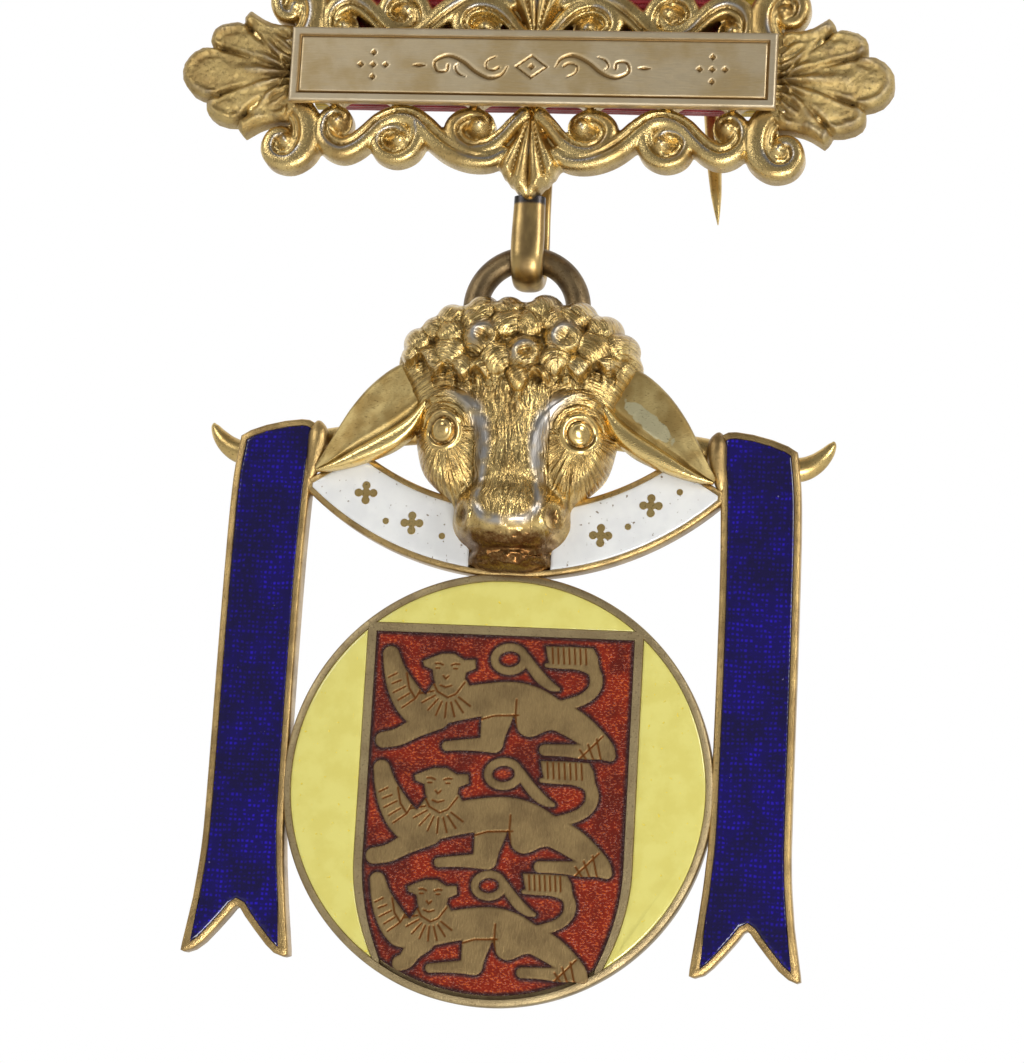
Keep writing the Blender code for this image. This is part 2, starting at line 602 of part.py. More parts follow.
def scroll_frame():
    seat_z = FRAME_Z + PLATE_RISE
    seat_half = PLATE_HEIGHT / 2 - LAP
    frame = box("scroll_frame", (-PLATE_HALF + LAP, -PLATE_SEAT, seat_z - seat_half),
                (PLATE_HALF - LAP, BASE_BACK, seat_z + seat_half))
    parts = rail_and_posts("lower_rail", LOWER_RAIL_Z)
    parts += [shell(-1), shell(1), palmette(-1), palmette(1), hook()]
    for side in (-1, 1):
        for turn in (-1, 1):
            for k, name in enumerate(SCROLLS):
                parts.append(scroll(name, side, turn, LAP * (0.1 + 0.1 * k)))
    return fuse(frame, parts)


def number_plate():
    z = FRAME_Z + PLATE_RISE
    half = PLATE_HEIGHT / 2
    outline = [(-PLATE_HALF, z - half), (PLATE_HALF, z - half)]
    outline += [(PLATE_HALF, z + half), (-PLATE_HALF, z + half)]
    back = -PLATE_SEAT - FIT
    return tray("number_plate", outline, back - PLATE_THICK, back, PLATE_BORDER, PLATE_SINK)


# Ring: a plain torus whose origin is on the hinge, at the middle of the wire in the hook

def jump_ring():
    centre = np.array([0, 0, -RING_RADIUS])
    up, right = np.array([0, 0, 1]), np.array([1, 0, 0])
    ring = torus("jump_ring", centre, up, right, RING_RADIUS, RING_WIRE, 32, 10)
    ring.location = (0, RING_Y, HINGE_Z)
    return ring


# Pendant frame: head, ears, horns, trays and disc, soldered into one

def head_outline():
    """The head's outline, read from its table at even turns about the middle of the head."""
    half = smooth(HEAD_OUTLINE, 4)
    across, up = half[:, 0] * HEAD_WIDTH / 2, (0.5 - half[:, 1]) * HEAD_HEIGHT
    turns, reach = np.arctan2(across, up), np.hypot(across, up)
    wanted = np.arange(HEAD_RAYS) * 2 * math.pi / HEAD_RAYS
    folded = np.minimum(wanted, 2 * math.pi - wanted)
    radius = np.interp(folded, turns, reach)
    middle = HEAD_HEIGHT * 0.5 - HEAD_RISE
    return [below(r * math.sin(a), middle - r * math.cos(a)) for a, r in zip(wanted, radius)]


def head_height(x, z):
    """Relief of the head over its rim: rounded masses blended into each other, and curls on the hair."""
    u, v = x / (HEAD_WIDTH / 2), (RING_Z - z + HEAD_RISE) / HEAD_HEIGHT
    power = 5
    total = np.full(np.shape(u), (HEAD_RIM / HEAD_DEPTH) ** power)
    for across, down, wide, tall, rise in HEAD_MASSES:
        for side in (1, -1) if across > 0 else (1,):
            away = ((u - side * across) / wide) ** 2 + ((v - down) / tall) ** 2
            total = total + (rise * np.sqrt(np.clip(1 - away, 0, None))) ** power
    height = HEAD_DEPTH * total ** (1 / power)
    for down, reach in CURL_ROWS:
        spaces = round(reach * HEAD_WIDTH / CURL_SPACING)
        for across in np.linspace(-reach, reach, spaces + 1):
            away = np.hypot(x - across * HEAD_WIDTH / 2, (v - down) * HEAD_HEIGHT) / CURL_RADIUS
            height = height + CURL_HEIGHT * np.clip(1 - away ** 2, 0, None)
    return height


def head():
    """A cast shell: the relief in front, and a hollow behind that follows it."""
    outline = np.array(head_outline())
    centre = np.array(below(0, HEAD_HEIGHT * 0.5 - HEAD_RISE))
    hidden = (0.80, 0.68, 0.54, 0.40, 0.26, 0.12)

    def level(share, part, least):
        flat = centre + (outline - centre) * share
        ring = ring_at(flat, 0.0)
        ring[:, 1] = HEAD_BACK - np.maximum(head_height(flat[:, 0], flat[:, 1]) * part, least)
        return ring

    front = [level(share, 1.0, HEAD_RIM) for share in reversed((0.97, 0.90) + hidden)]
    edge = [level(1.0, 0.35, HEAD_RIM * 0.7), ring_at(outline, HEAD_BACK)]
    hollow = [ring_at(inset(outline, HEAD_WALL), HEAD_BACK)]
    hollow += [level(share, HEAD_HOLLOW, HEAD_RIM * 0.4) for share in hidden]
    return stack("head", front + edge + hollow)


def ear(side):
    """A drooping leaf, thickest along its middle, with its tip on the pennant's side."""
    droop = math.radians(EAR_DROOP)
    root = np.array(below(side * HEAD_WIDTH * 0.40, HEAD_HEIGHT * 0.36))
    along = np.array([side * math.cos(droop), -math.sin(droop)])
    across = np.array([side * math.sin(droop), math.cos(droop)])
    shape = [(0.0, 0.42, 0.8), (0.15, 0.5, 1.0), (0.35, 0.5, 1.0), (0.55, 0.44, 1.0), (0.75, 0.33, 0.85),
             (0.9, 0.18, 0.6), (1.0, 0.05, 0.3)]
    back = TRAY_FRONT - ENAMEL_GAP
    rings = []
    for reach, half, thick in shape:
        middle = root + along * reach * EAR_LENGTH
        ring = []
        for a, b in ((-1, 0), (-0.8, 0.45), (-0.2, 0.8), (0.5, 1), (0.95, 0.6), (1, 0)):
            point = middle + across * a * half * EAR_WIDTH
            ring.append((point[0], back - b * thick * EAR_THICK, point[1]))
        rings.append(ring)
    return stack(f"ear_{side}", rings)


def horn(side):
    """A tapering horn that runs from behind the ear, behind the pennant's top, and curls up outside."""
    inner, outer = PENNANT_INNER, PENNANT_INNER + PENNANT_WIDTH
    level = PENNANT_BELOW + HORN_WIRE
    near, far = HEAD_BACK, TRAY_FLOOR + LAP + HORN_WIRE / 2
    route = [
        (HEAD_WIDTH * 0.38, near, level - HORN_WIRE * 0.6, 0.9),
        (HEAD_WIDTH * 0.55, near, level - HORN_WIRE * 0.5, 1.0),
        (inner - HORN_WIRE, far, level - HORN_WIRE * 0.4, 1.0),
        (inner + HORN_WIRE, far, level, 1.0),
        (outer - HORN_WIRE, far, level + HORN_WIRE * 0.25, 1.0),
        (outer + HORN_REACH * 0.2, far, level, 1.0),
        (outer + HORN_REACH * 0.68, far, level - HORN_WIRE * 0.5, 0.7),
        (outer + HORN_REACH, far, level - HORN_WIRE * 1.15, 0.25),
    ]
    table = smooth(route, 2)
    path = np.column_stack([side * table[:, 0], table[:, 1], RING_Z - table[:, 2]])
    widths = table[:, 3] * HORN_WIRE
    return sweep(f"horn_{side}", path, (0, -1, 0), round_profile(8), widths, widths)


def swag_outline(inner_end):
    """The scroll between its two arcs, from inner_end out to the pennant."""
    outer_middle = SWAG_BELOW - SWAG_RADIUS
    inner_middle = SWAG_BELOW - SWAG_HEIGHT - SWAG_INNER_RADIUS
    end = PENNANT_INNER
    knee = PENNANT_INNER * 0.75
    lower = np.linspace(inner_end, end, 12)
    upper = np.linspace(knee, inner_end, 7)
    points = [below(u, outer_middle + math.sqrt(SWAG_RADIUS ** 2 - u ** 2)) for u in lower]
    end_v = RING_Z - points[-1][1]
    points.append(below(end, end_v - SWAG_HEIGHT * 0.14))
    points += [below(u, inner_middle + math.sqrt(SWAG_INNER_RADIUS ** 2 - u ** 2)) for u in upper]
    return points


def swag():
    half = swag_outline(0.0)
    whole = half + [(-x, z) for x, z in reversed(half)][1:-1]
    return tray("swag", whole, TRAY_FRONT, TRAY_BACK, TRAY_RIM, ENAMEL_DEPTH)


def pennant_outline(side):
    points = []

    def at(down, across):
        u = PENNANT_INNER + across * PENNANT_WIDTH
        return (side * u, RING_Z - PENNANT_BELOW - down * PENNANT_LENGTH)

    points += [at(down, across) for down, across in PENNANT_TOP]
    points += [at(down, outer) for down, _, outer in PENNANT_SIDES]
    points += [at(down, across) for down, across in reversed(PENNANT_TIPS)]
    points += [at(down, inner) for down, inner, _ in reversed(PENNANT_SIDES)]
    return points


def disc_point(x, up):
    """The point x across and up above the disc's middle."""
    return below(x, DISC_BELOW - up)


def shield_half(up, width):
    """Half the shield's width at a level above the disc's middle: straight, then drawn in."""
    start = -DISC_RADIUS * 0.34
    drawn = np.clip((start - up) / (DISC_RADIUS * 0.47), 0, 1)
    return width / 2 * (1 - 0.18 * drawn ** 2)


def shield_sides(width, radius, count):
    """Levels and half widths of the shield's side, from where it leaves the rim's circle down."""
    levels = np.linspace(DISC_RADIUS, -DISC_RADIUS, 400)
    halves = shield_half(levels, width)
    inside = levels[np.hypot(levels, halves) < radius]
    chosen = np.linspace(inside[0], inside[-1], count)
    return chosen, shield_half(chosen, width)


def yellow_outline(place, shrink):
    """One of the three fields between the shield and the disc's rim."""
    radius = DISC_RADIUS - DISC_RIM - shrink
    if place == "top":
        level = SHIELD_RISE + shrink
        reach = math.acos(level / radius)
        points = arc(radius, math.pi / 2 - reach, math.pi / 2 + reach, 12)
    else:
        levels, halves = shield_sides(SHIELD_WIDTH + 2 * shrink, radius, 9)
        first = math.atan2(levels[0], halves[0])
        last = math.atan2(levels[-1], halves[-1])
        points = arc(radius, last, first, 18)[:-1] + list(zip(halves, levels))[:-1]
        if place == "left":
            points = mirrored(points)
    return [disc_point(x, up) for x, up in points]


def red_outline(shrink):
    """The shield's field inside its wall."""
    width = SHIELD_WIDTH - 2 * SHIELD_WALL - 2 * shrink
    radius = DISC_RADIUS - DISC_RIM - LAP - shrink
    levels, halves = shield_sides(width, radius, 9)
    top = SHIELD_RISE - SHIELD_WALL - shrink
    side = [(h, z) for h, z in zip(halves, levels) if z < top]
    side = [(width / 2, top)] + side
    last = math.atan2(side[-1][1], side[-1][0])
    bottom = arc(radius, last, -math.pi - last, 14)[1:-1]
    points = side + bottom + [(-x, z) for x, z in reversed(side)]
    return [disc_point(x, up) for x, up in points]


def stroke(name, points, grow, front, back):
    """A flat limb along a stroke of points (x, z, half width), all round larger by grow."""
    p = np.asarray(points, dtype=float)
    along = np.gradient(p[:, :2], axis=0)
    along /= np.linalg.norm(along, axis=1)[:, None]
    side = np.column_stack([-along[:, 1], along[:, 0]])
    line = p[:, :2].copy()
    line[0] -= along[0] * (p[0, 2] * 0.5 + grow)
    line[-1] += along[-1] * (p[-1, 2] * 0.5 + grow)
    wide = p[:, 2] + grow
    wide[0] = p[0, 2] * 0.7 + grow
    wide[-1] = p[-1, 2] * 0.7 + grow
    left, right = line + side * wide[:, None], line - side * wide[:, None]
    return slab(name, np.vstack([left, right[::-1]]), front, back)


def field_half(up):
    """Half the width of the shield's field at a level above the disc's middle."""
    rim = math.sqrt((DISC_RADIUS - DISC_RIM) ** 2 - up ** 2)
    return min(shield_half(up, SHIELD_WIDTH) - SHIELD_WALL, rim)


def lion_limbs(name, grow, front, back, step):
    """The limbs of all three lions as flat strokes, each a little taller than the last."""
    made = []
    for n, (middle, foot, length, height) in enumerate(LIONS):
        for k, (limb, points) in enumerate(LION_LIMBS.items()):
            placed = []
            for along, up, half in points:
                z = (foot + up * height) * SHIELD_RISE
                x = (middle + (along - 0.5) * length) * field_half(z)
                placed.append((*disc_point(x, z), half * height * SHIELD_RISE))
            made.append(stroke(f"{name}_{n}_{limb}", placed, grow, front - step * k, back + step * k))
    return made


def disc():
    middle = below(0, DISC_BELOW)
    outline = arc(DISC_RADIUS, 0, 2 * math.pi, 73, middle)[:-1]
    return slab("pendant_frame", outline, TRAY_FRONT, TRAY_BACK)


def ring_loop():
    """The bridge behind the head, and the loop on it that holds the ring's lower wire."""
    bar = box("bridge", (-HEAD_WIDTH * 0.46, HEAD_BACK - HEAD_WALL, RING_Z - RING_RADIUS - LOOP_WIRE * 1.6),
              (HEAD_WIDTH * 0.46, HEAD_BACK - LAP / 6, RING_Z - RING_RADIUS + LOOP_WIRE * 0.8))
    radius = RING_WIRE / 2 + RING_CLEARANCE + LOOP_WIRE / 2
    centre = np.array([0, RING_Y, RING_Z - RING_RADIUS])
    loop = torus("loop", centre, np.array([0, 1, 0]), np.array([0, 0, 1]), radius, LOOP_WIRE, 16, 8)
    return [bar, loop]


def pendant_frame():
    frame = disc()
    cells = [slab(f"cell_{place}", yellow_outline(place, 0.0), TRAY_FRONT - LAP, TRAY_FLOOR)
             for place in ("top", "left", "right")]
    cells.append(slab("cell_red", red_outline(0.0), TRAY_FRONT - LAP, TRAY_FLOOR))
    fuse(frame, cells, "DIFFERENCE")
    step = ENAMEL_GAP / 20
    parts = lion_limbs("lion", 0.0, TRAY_FRONT + step * len(LION_LIMBS), TRAY_FLOOR + LAP, step)
    parts += [head(), swag(), ear(-1), ear(1), horn(-1), horn(1)] + ring_loop()
    for side in (-1, 1):
        outline = pennant_outline(side)
        parts.append(tray(f"pennant_{side}", outline, TRAY_FRONT, TRAY_BACK, TRAY_RIM, ENAMEL_DEPTH))
    return fuse(frame, parts, solver="MANIFOLD")


# Enamels: each lies in its own sunk field, a little clear of the metal and of the floor

def enamel(name, outline):
    front, back = TRAY_FRONT + ENAMEL_GAP / 3, TRAY_FLOOR - ENAMEL_GAP
    return slab(name, outline, front, back)


def enamels():
    made = {}
    muzzle = HEAD_WIDTH * 0.25
    for side, name in ((-1, "left"), (1, "right")):
        outline = inset(swag_outline(muzzle), TRAY_RIM + ENAMEL_GAP)
        if side < 0:
            outline = mirrored(outline)
        made[f"white_enamel_{name}"] = (enamel(f"white_enamel_{name}", outline), "white_enamel", WHITE)
        blue = inset(pennant_outline(side), TRAY_RIM + ENAMEL_GAP)
        made[f"blue_enamel_{name}"] = (enamel(f"blue_enamel_{name}", blue), "blue_enamel", BLUE)
    for place in ("top", "left", "right"):
        piece = enamel(f"yellow_enamel_{place}", yellow_outline(place, ENAMEL_GAP))
        made[f"yellow_enamel_{place}"] = (piece, "yellow_enamel", YELLOW)
    red = enamel("red_enamel", red_outline(ENAMEL_GAP))
    cutters = lion_limbs("lion_gap", ENAMEL_GAP, TRAY_FRONT - LAP, TRAY_FLOOR + LAP, ENAMEL_GAP / 10)
    fuse(red, cutters, "DIFFERENCE")
    made["red_enamel"] = (red, "red_enamel", RED)
    return made


# Assembly

gilt = material("gilt", GILT)
finish(pin_bar(), gilt)
finish(brooch_pin(), gilt, 40)
finish(ribbon(), material("silk", SILK))
finish(scroll_frame(), gilt, 40)
finish(number_plate(), material("pale_gilt", PALE_GILT))
finish(jump_ring(), material("old_gilt", OLD_GILT), 60)
pivot = bpy.data.objects.new("pendant_pivot", None)
pivot.location = (0, RING_Y, RING_Z)
bpy.context.scene.collection.objects.link(pivot)
body = pendant_frame()
finish(body, gilt, 40)
hang(body, pivot)
enamel_materials = {}
for piece, kind, colour in enamels().values():
    if kind not in enamel_materials:
        enamel_materials[kind] = material(kind, colour)
    finish(piece, enamel_materials[kind])
    hang(piece, pivot)
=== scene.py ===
"""The looks of a gilt and enamelled lodge jewel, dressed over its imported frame.

Arrays hold millimetres in the frame's own axes, and a mesh becomes metres when it is made. +Z is up
and the front faces -Y. A height is measured from the plane y = 0 towards the viewer.
"""

import math

import bmesh
import bpy
import numpy as np
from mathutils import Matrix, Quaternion, Vector


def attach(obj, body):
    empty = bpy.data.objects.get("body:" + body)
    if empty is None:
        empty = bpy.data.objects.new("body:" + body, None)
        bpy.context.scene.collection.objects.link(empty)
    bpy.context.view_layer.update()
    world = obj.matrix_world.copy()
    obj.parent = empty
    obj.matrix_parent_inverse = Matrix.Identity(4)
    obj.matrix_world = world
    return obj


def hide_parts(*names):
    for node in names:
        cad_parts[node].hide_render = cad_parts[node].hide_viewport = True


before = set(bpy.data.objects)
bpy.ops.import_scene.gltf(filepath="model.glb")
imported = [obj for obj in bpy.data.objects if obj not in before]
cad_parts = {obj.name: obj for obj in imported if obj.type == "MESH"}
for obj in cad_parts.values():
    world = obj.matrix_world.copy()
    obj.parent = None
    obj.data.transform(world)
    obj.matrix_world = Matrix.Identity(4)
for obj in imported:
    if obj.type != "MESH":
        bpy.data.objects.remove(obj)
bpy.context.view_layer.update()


# Pin bar and brooch pin
# The bar is a plain strip of rolled gilding metal with a rail, a fork and a catch soldered behind it.
# The pin is drawn wire, filed to a long point, and lies closed in the catch, its point showing below.

MM = 0.001
BAR_EDGE = 0.18
PIN_TOP = (11.5, 5.75, 2.7)
PIN_POINT = (15.42, 5.75, -34.6)
PIN_TAPER = [(0.0, 0.65), (0.86, 0.62), (0.93, 0.46), (0.97, 0.25), (0.99, 0.11), (1.0, 0.04)]
SIDES = ((-1, "left"), (1, "right"))
GILT_LIGHT = (0.74, 0.54, 0.215)
GILT_DEEP = (0.50, 0.33, 0.115)
# Dark brown, for grime and for painted shade in hollows and cuts
GILT_GRIME_AND_SHADE = (0.055, 0.030, 0.012)
WORN_METAL = (0.37, 0.36, 0.35)
# Dark brown below the nose, and painted shade in the nostrils and round the eyes
DARK_BROWN_AND_SHADE = (0.13, 0.058, 0.018)


class Shade:
    """A socket of a material's nodes. An expression on it adds the Math nodes that work it out."""

    def __init__(self, tree, socket=None):
        self.tree = tree
        self.socket = socket

    def node(self, kind, settings, sockets, output=0):
        """Adds a node: first its settings, then the values or links of its sockets."""
        made = self.tree.nodes.new("ShaderNode" + kind)
        for name, value in settings.items():
            setattr(made, name, value)
        for name, value in sockets.items():
            if isinstance(value, Shade):
                self.tree.links.new(value.socket, made.inputs[name])
            else:
                made.inputs[name].default_value = value
        return Shade(self.tree, made.outputs[output])

    def math(self, operation, *values):
        return self.node("Math", {"operation": operation}, dict(enumerate(values)))

    def __add__(self, other):
        return self.math("ADD", self, other)

    def __sub__(self, other):
        return self.math("SUBTRACT", self, other)

    def __rsub__(self, other):
        return self.math("SUBTRACT", other, self)

    def __mul__(self, other):
        return self.math("MULTIPLY", self, other)

    __radd__ = __add__
    __rmul__ = __mul__

    def size(self):
        return self.math("ABSOLUTE", self)

    def wave(self):
        return self.math("SINE", self)

    def part(self, axis):
        """One of this place's three numbers: 0 across, 1 in depth, 2 up."""
        return self.node("SeparateXYZ", {}, {0: self}, axis)

    def rise(self, low, high):
        """Nought below low, one above high and a smooth step between."""
        return self.node("MapRange", {"interpolation_type": "SMOOTHSTEP"}, {0: self, 1: low, 2: high})

    def mix(self, first, second):
        """The first colour where this is nought and the second where it is one."""
        first, second = (c if isinstance(c, Shade) else (*c, 1) for c in (first, second))
        return self.node("Mix", {"data_type": "RGBA"}, {0: self, 6: first, 7: second}, 2)

    def noise(self, scale, detail=2.0):
        """Cloudy values of about 0.3 to 0.7 at this place, with scale cells to the millimetre."""
        return self.node("TexNoise", {}, {"Vector": self, "Scale": scale, "Detail": detail})

    def stretched(self, across, out, up):
        """This place with its three axes drawn out by these factors."""
        return self.node("VectorMath", {"operation": "MULTIPLY"}, {0: self, 1: (across, out, up)})

    def bump(self, depth):
        """The surface's normal where this is a height from nought to one, depth millimetres tall."""
        return self.node("Bump", {}, {"Height": self, "Distance": depth * MM})

    def mark(self, name):
        """A value that the mesh carries at its points."""
        return self.node("Attribute", {"attribute_name": name}, {}, "Fac")


def new_finish(name, constants):
    """A material whose shader has these constants, and the place on the piece in millimetres."""
    made = bpy.data.materials.new(name)
    made.use_nodes = True
    shader = made.node_tree.nodes["Principled BSDF"]
    for socket, value in constants.items():
        shader.inputs[socket].default_value = value
    place = Shade(made.node_tree).node("TexCoord", {}, {}, "Object")
    return made, place.stretched(1 / MM, 1 / MM, 1 / MM)


def wire_up(made, sockets):
    """Feeds what changes over the surface into the material's shader."""
    shader = made.node_tree.nodes["Principled BSDF"]
    for name, value in sockets.items():
        made.node_tree.links.new(value.socket, shader.inputs[name])
    return made


def gilt(name, light=GILT_LIGHT, deep=GILT_DEEP, rough=0.26, grain=0.012, cast=False, chased=False):
    """Gilding on brass: cloudy patches of deeper gold, fine pits, and tarnish in specks.

    On a cast piece the hollows are painted darker and duller, partly grime and partly painted shade, and
    the ridges are rubbed through to grey. A chased one has strands cut over it, by the two places that its
    mesh carries beside and along them, and the cuts between them are darker, grime and painted shade.
    """
    made, place = new_finish(name, {"Metallic": 1.0})
    patch = place.noise(0.45, 3.0).rise(0.32, 0.74)
    speck = place.noise(5.0, 4.0)
    grime_and_shade = speck.rise(0.54, 0.72) * 0.5
    gloss = rough + patch * 0.06 + speck * 0.12
    if cast:
        # The hollows: darker and duller, partly grime and partly painted shade
        hollow = place.mark("hollow")
        grime_and_shade = grime_and_shade + hollow * (0.7 + speck * 0.9)
        gloss = gloss + hollow * 0.22
    colour = grime_and_shade.mix(patch.mix(light, deep), GILT_GRIME_AND_SHADE)
    if cast:
        wear_and_highlight = place.mark("ridge") * place.noise(0.30, 3.0).rise(0.42, 0.58)
        if chased:
            # greyed: rubbed gilding on the brows, and a pale grey painted highlight on the hooked curls
            wear_and_highlight = wear_and_highlight * 0.5 + place.mark("bare")
            gloss = gloss + place.mark("bare") * 0.10
        colour = wear_and_highlight.mix(colour, WORN_METAL)
    pits = place.noise(9.0, 3.0) + patch * 0.6
    if chased:
        combed = place.node("CombineXYZ", {}, {0: place.mark("beside"), 1: place.mark("along") * 0.14})
        strand = combed.noise(4.4, 3.0)
        cut = place.mark("cut") * (1.0 - wear_and_highlight.rise(0.1, 0.7) * 0.8)
        # The cuts between strands are painted darker, partly grime and partly painted shade
        colour = (strand.rise(0.55, 0.38) * cut * 0.42).mix(colour, GILT_GRIME_AND_SHADE)
        # Darker below the nose, and painted shade in the nostrils and the ring round each eye
        colour = (place.mark("sooty") * (speck + 0.45)).mix(colour, DARK_BROWN_AND_SHADE)
        pits = pits * 0.25 + strand.rise(0.30, 0.70) * cut * 5.0
    return wire_up(made, {"Base Color": colour, "Roughness": gloss, "Normal": pits.bump(grain)})


def placed(name, data):
    """A new object in the scene, with this mesh, camera or light."""
    made = bpy.data.objects.new(name, data)
    bpy.context.scene.collection.objects.link(made)
    return made


def solid(name, points, faces):
    """An object from points in millimetres and faces, shaded smooth up to its sharp edges."""
    mesh = bpy.data.meshes.new(name)
    mesh.from_pydata((np.asarray(points, float) * MM).tolist(), [], faces)
    mesh.shade_smooth()
    mesh.set_sharp_from_angle(angle=math.radians(48))
    return placed(name, mesh)


def keep_marks(made, marks):
    """Keeps a value at each of the mesh's points under each name, for its material to read."""
    for name, values in marks.items():
        layer = made.data.attributes.new(name, "FLOAT", "POINT")
        layer.data.foreach_set("value", values)


def face_outwards(made, merged=0.0):
    """Merges points closer than merged metres, and turns every face outwards."""
    bm = bmesh.new()
    bm.from_mesh(made.data)
    bmesh.ops.remove_doubles(bm, verts=bm.verts[:], dist=merged)
    bmesh.ops.recalc_face_normals(bm, faces=bm.faces[:])
    bm.to_mesh(made.data)
    bm.free()
    return made


def skin(name, rings, round_again=False):
    """A closed surface through rings of points, each joined to the next and the two ends capped.

    With round_again the last ring runs on to the first and there are no ends.
    """
    rings = np.asarray(rings, float)
    number = np.arange(rings.shape[0] * rings.shape[1]).reshape(rings.shape[:2])
    rows = np.vstack([number, number[:1]]) if round_again else number
    after = np.roll(rows, -1, axis=1)
    faces = np.stack([rows[:-1], after[:-1], after[1:], rows[1:]], axis=-1).reshape(-1, 4).tolist()
    if not round_again:
        faces += [number[0].tolist(), number[-1].tolist()]
    return face_outwards(solid(name, rings.reshape(-1, 3), faces), 1e-9)


def circle(sides):
    """Points round a circle of radius one."""
    turns = 2 * math.pi * (np.arange(sides) + 0.5) / sides
    return np.column_stack([np.cos(turns), np.sin(turns)])


def swept(name, path, facing, profile, wide, tall):
    """A profile carried along a path: each profile point moves across the path by its first number
    times wide, and towards facing by its second times tall."""
    path, profile = np.asarray(path, float), np.asarray(profile, float)
    along = np.gradient(path, axis=0)
    along /= np.linalg.norm(along, axis=1)[:, None]
    across = np.cross(along, facing)
    across /= np.linalg.norm(across, axis=1)[:, None]
    out = np.cross(across, along)
    wide = np.broadcast_to(wide, len(path))[:, None, None]
    tall = np.broadcast_to(tall, len(path))[:, None, None]
    rings = path[:, None] + across[:, None] * profile[None, :, :1] * wide
    return skin(name, rings + out[:, None] * profile[None, :, 1:] * tall)


def dress(piece, body, node, finish):
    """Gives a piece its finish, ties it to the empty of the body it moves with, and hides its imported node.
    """
    piece.data.materials.clear()
    piece.data.materials.append(finish)
    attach(piece, body)
    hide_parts(node)
    return piece


plain_gilt = gilt("plain_gilt", rough=0.24, grain=0.008)
bar = placed("pin_bar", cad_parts["top_bar"].data.copy())
face_outwards(bar, 1e-6)
bevel = bar.modifiers.new("filed_edges", "BEVEL")
bevel.width = BAR_EDGE * MM
bevel.segments = 3
bevel.limit_method = "ANGLE"
dress(bar, "bar", "top_bar", plain_gilt)

taper = np.array(PIN_TAPER)
steps = np.linspace(0, 1, 61)
pin_line = np.array(PIN_TOP) + steps[:, None] * (np.array(PIN_POINT) - np.array(PIN_TOP))
pin_radius = np.interp(steps, taper[:, 0], taper[:, 1])
pin = swept("pin", pin_line, (0, -1, 0), circle(24), pin_radius, pin_radius)
dress(pin, "bar", "brooch_pin", plain_gilt)


# Ribbon
# One strip of ribbed silk, woven red with yellow edges, folded round the pin bar's rail and the scroll
# bar's rail and sewn behind. Its lower fold shows in a thin line below the plate.

RIBBON_HALF = 19.0
SILK_THICK = 0.42
LOOP_SIDES = (1.28, 4.72)       # y of the outside of the loop, front and back
LOOP_ENDS = (-25.8, 1.22)       # z of the outside of the loop, bottom and top
FOLD = 1.35                     # radius of the loop's corners
YELLOW_FROM = 16.45             # from the middle, out to the edge
RIB_PITCH = 0.42
SILK_RED = (0.40, 0.012, 0.020)
SILK_YELLOW = (0.86, 0.60, 0.06)


def ribbon_loop(depth):
    """The ribbon's path round both rails, depth millimetres inside its outer face, as y and z, with
    the distance along it. The corners are quarter circles."""
    near, far = LOOP_SIDES[0] + FOLD, LOOP_SIDES[1] - FOLD
    low, high = LOOP_ENDS[0] + FOLD, LOOP_ENDS[1] - FOLD
    quarter = np.radians(np.linspace(0, 90, 9))
    corners = []
    for n, middle in enumerate(((far, high), (near, high), (near, low), (far, low))):
        turn = quarter + n * math.pi / 2
        corners.append(middle + (FOLD - depth) * np.column_stack([np.cos(turn), np.sin(turn)]))
    run = np.vstack([*corners, corners[0][:1]])
    lengths = np.concatenate([[0], np.cumsum(np.linalg.norm(np.diff(run, axis=0), axis=1))])
    places = np.linspace(0, lengths[-1], 280, endpoint=False)
    return np.column_stack([np.interp(places, lengths, run[:, k]) for k in (0, 1)]), places


def silk():
    """Ribbed silk: ribs across the ribbon, warp threads along it, and yellow edges."""
    made, place = new_finish("ribbed_silk", {"Sheen Weight": 0.35, "Sheen Roughness": 0.4,
                                             "Roughness": 0.6})
    rib = (place.mark("along") * (2 * math.pi / RIB_PITCH)).wave()
    warp = (place.part(0) * 46.0).wave()
    yellow = place.part(0).size().rise(YELLOW_FROM - 0.1, YELLOW_FROM + 0.1)
    thread = place.stretched(1.0, 6.0, 6.0).noise(1.2, 2.0)
    dim = 0.62 + rib * 0.16 + warp * 0.06 + thread * 0.5
    colour = yellow.mix(SILK_RED, SILK_YELLOW)
    shaded = dim.node("VectorMath", {"operation": "SCALE"}, {0: colour, "Scale": dim})
    height = rib * 0.5 + warp * 0.18 + thread * 0.3
    return wire_up(made, {"Base Color": shaded, "Normal": height.bump(0.10)})


outer, along_outer = ribbon_loop(0.0)
inner, along_inner = ribbon_loop(SILK_THICK)
columns = np.linspace(-RIBBON_HALF, RIBBON_HALF, 97)
# Each ring goes across the outer face and back across the inner one, and a faint ripple moves both
across = np.concatenate([columns, columns[::-1]])
ripple = 0.05 * np.sin(across * 0.9 + 1.3 * np.sin(along_outer[:, None] * 0.11))
loop = np.repeat(np.stack([outer, inner], axis=1), len(columns), axis=1)
rings = np.stack([across + 0 * ripple, loop[..., 0] + ripple, loop[..., 1]], axis=-1)
ribbon = skin("ribbon_loop", rings, round_again=True)
keep_marks(ribbon, {"along": np.repeat(np.column_stack([along_outer, along_inner]), len(columns))})
dress(ribbon, "bar", "ribbon", silk())


# Scroll rows
# The bar's open scroll work is one brass casting, gilded: a row of leafy scrolls above and below the
# plate, each with a palmette in its middle, all on the flat strip that the plate is riveted to.

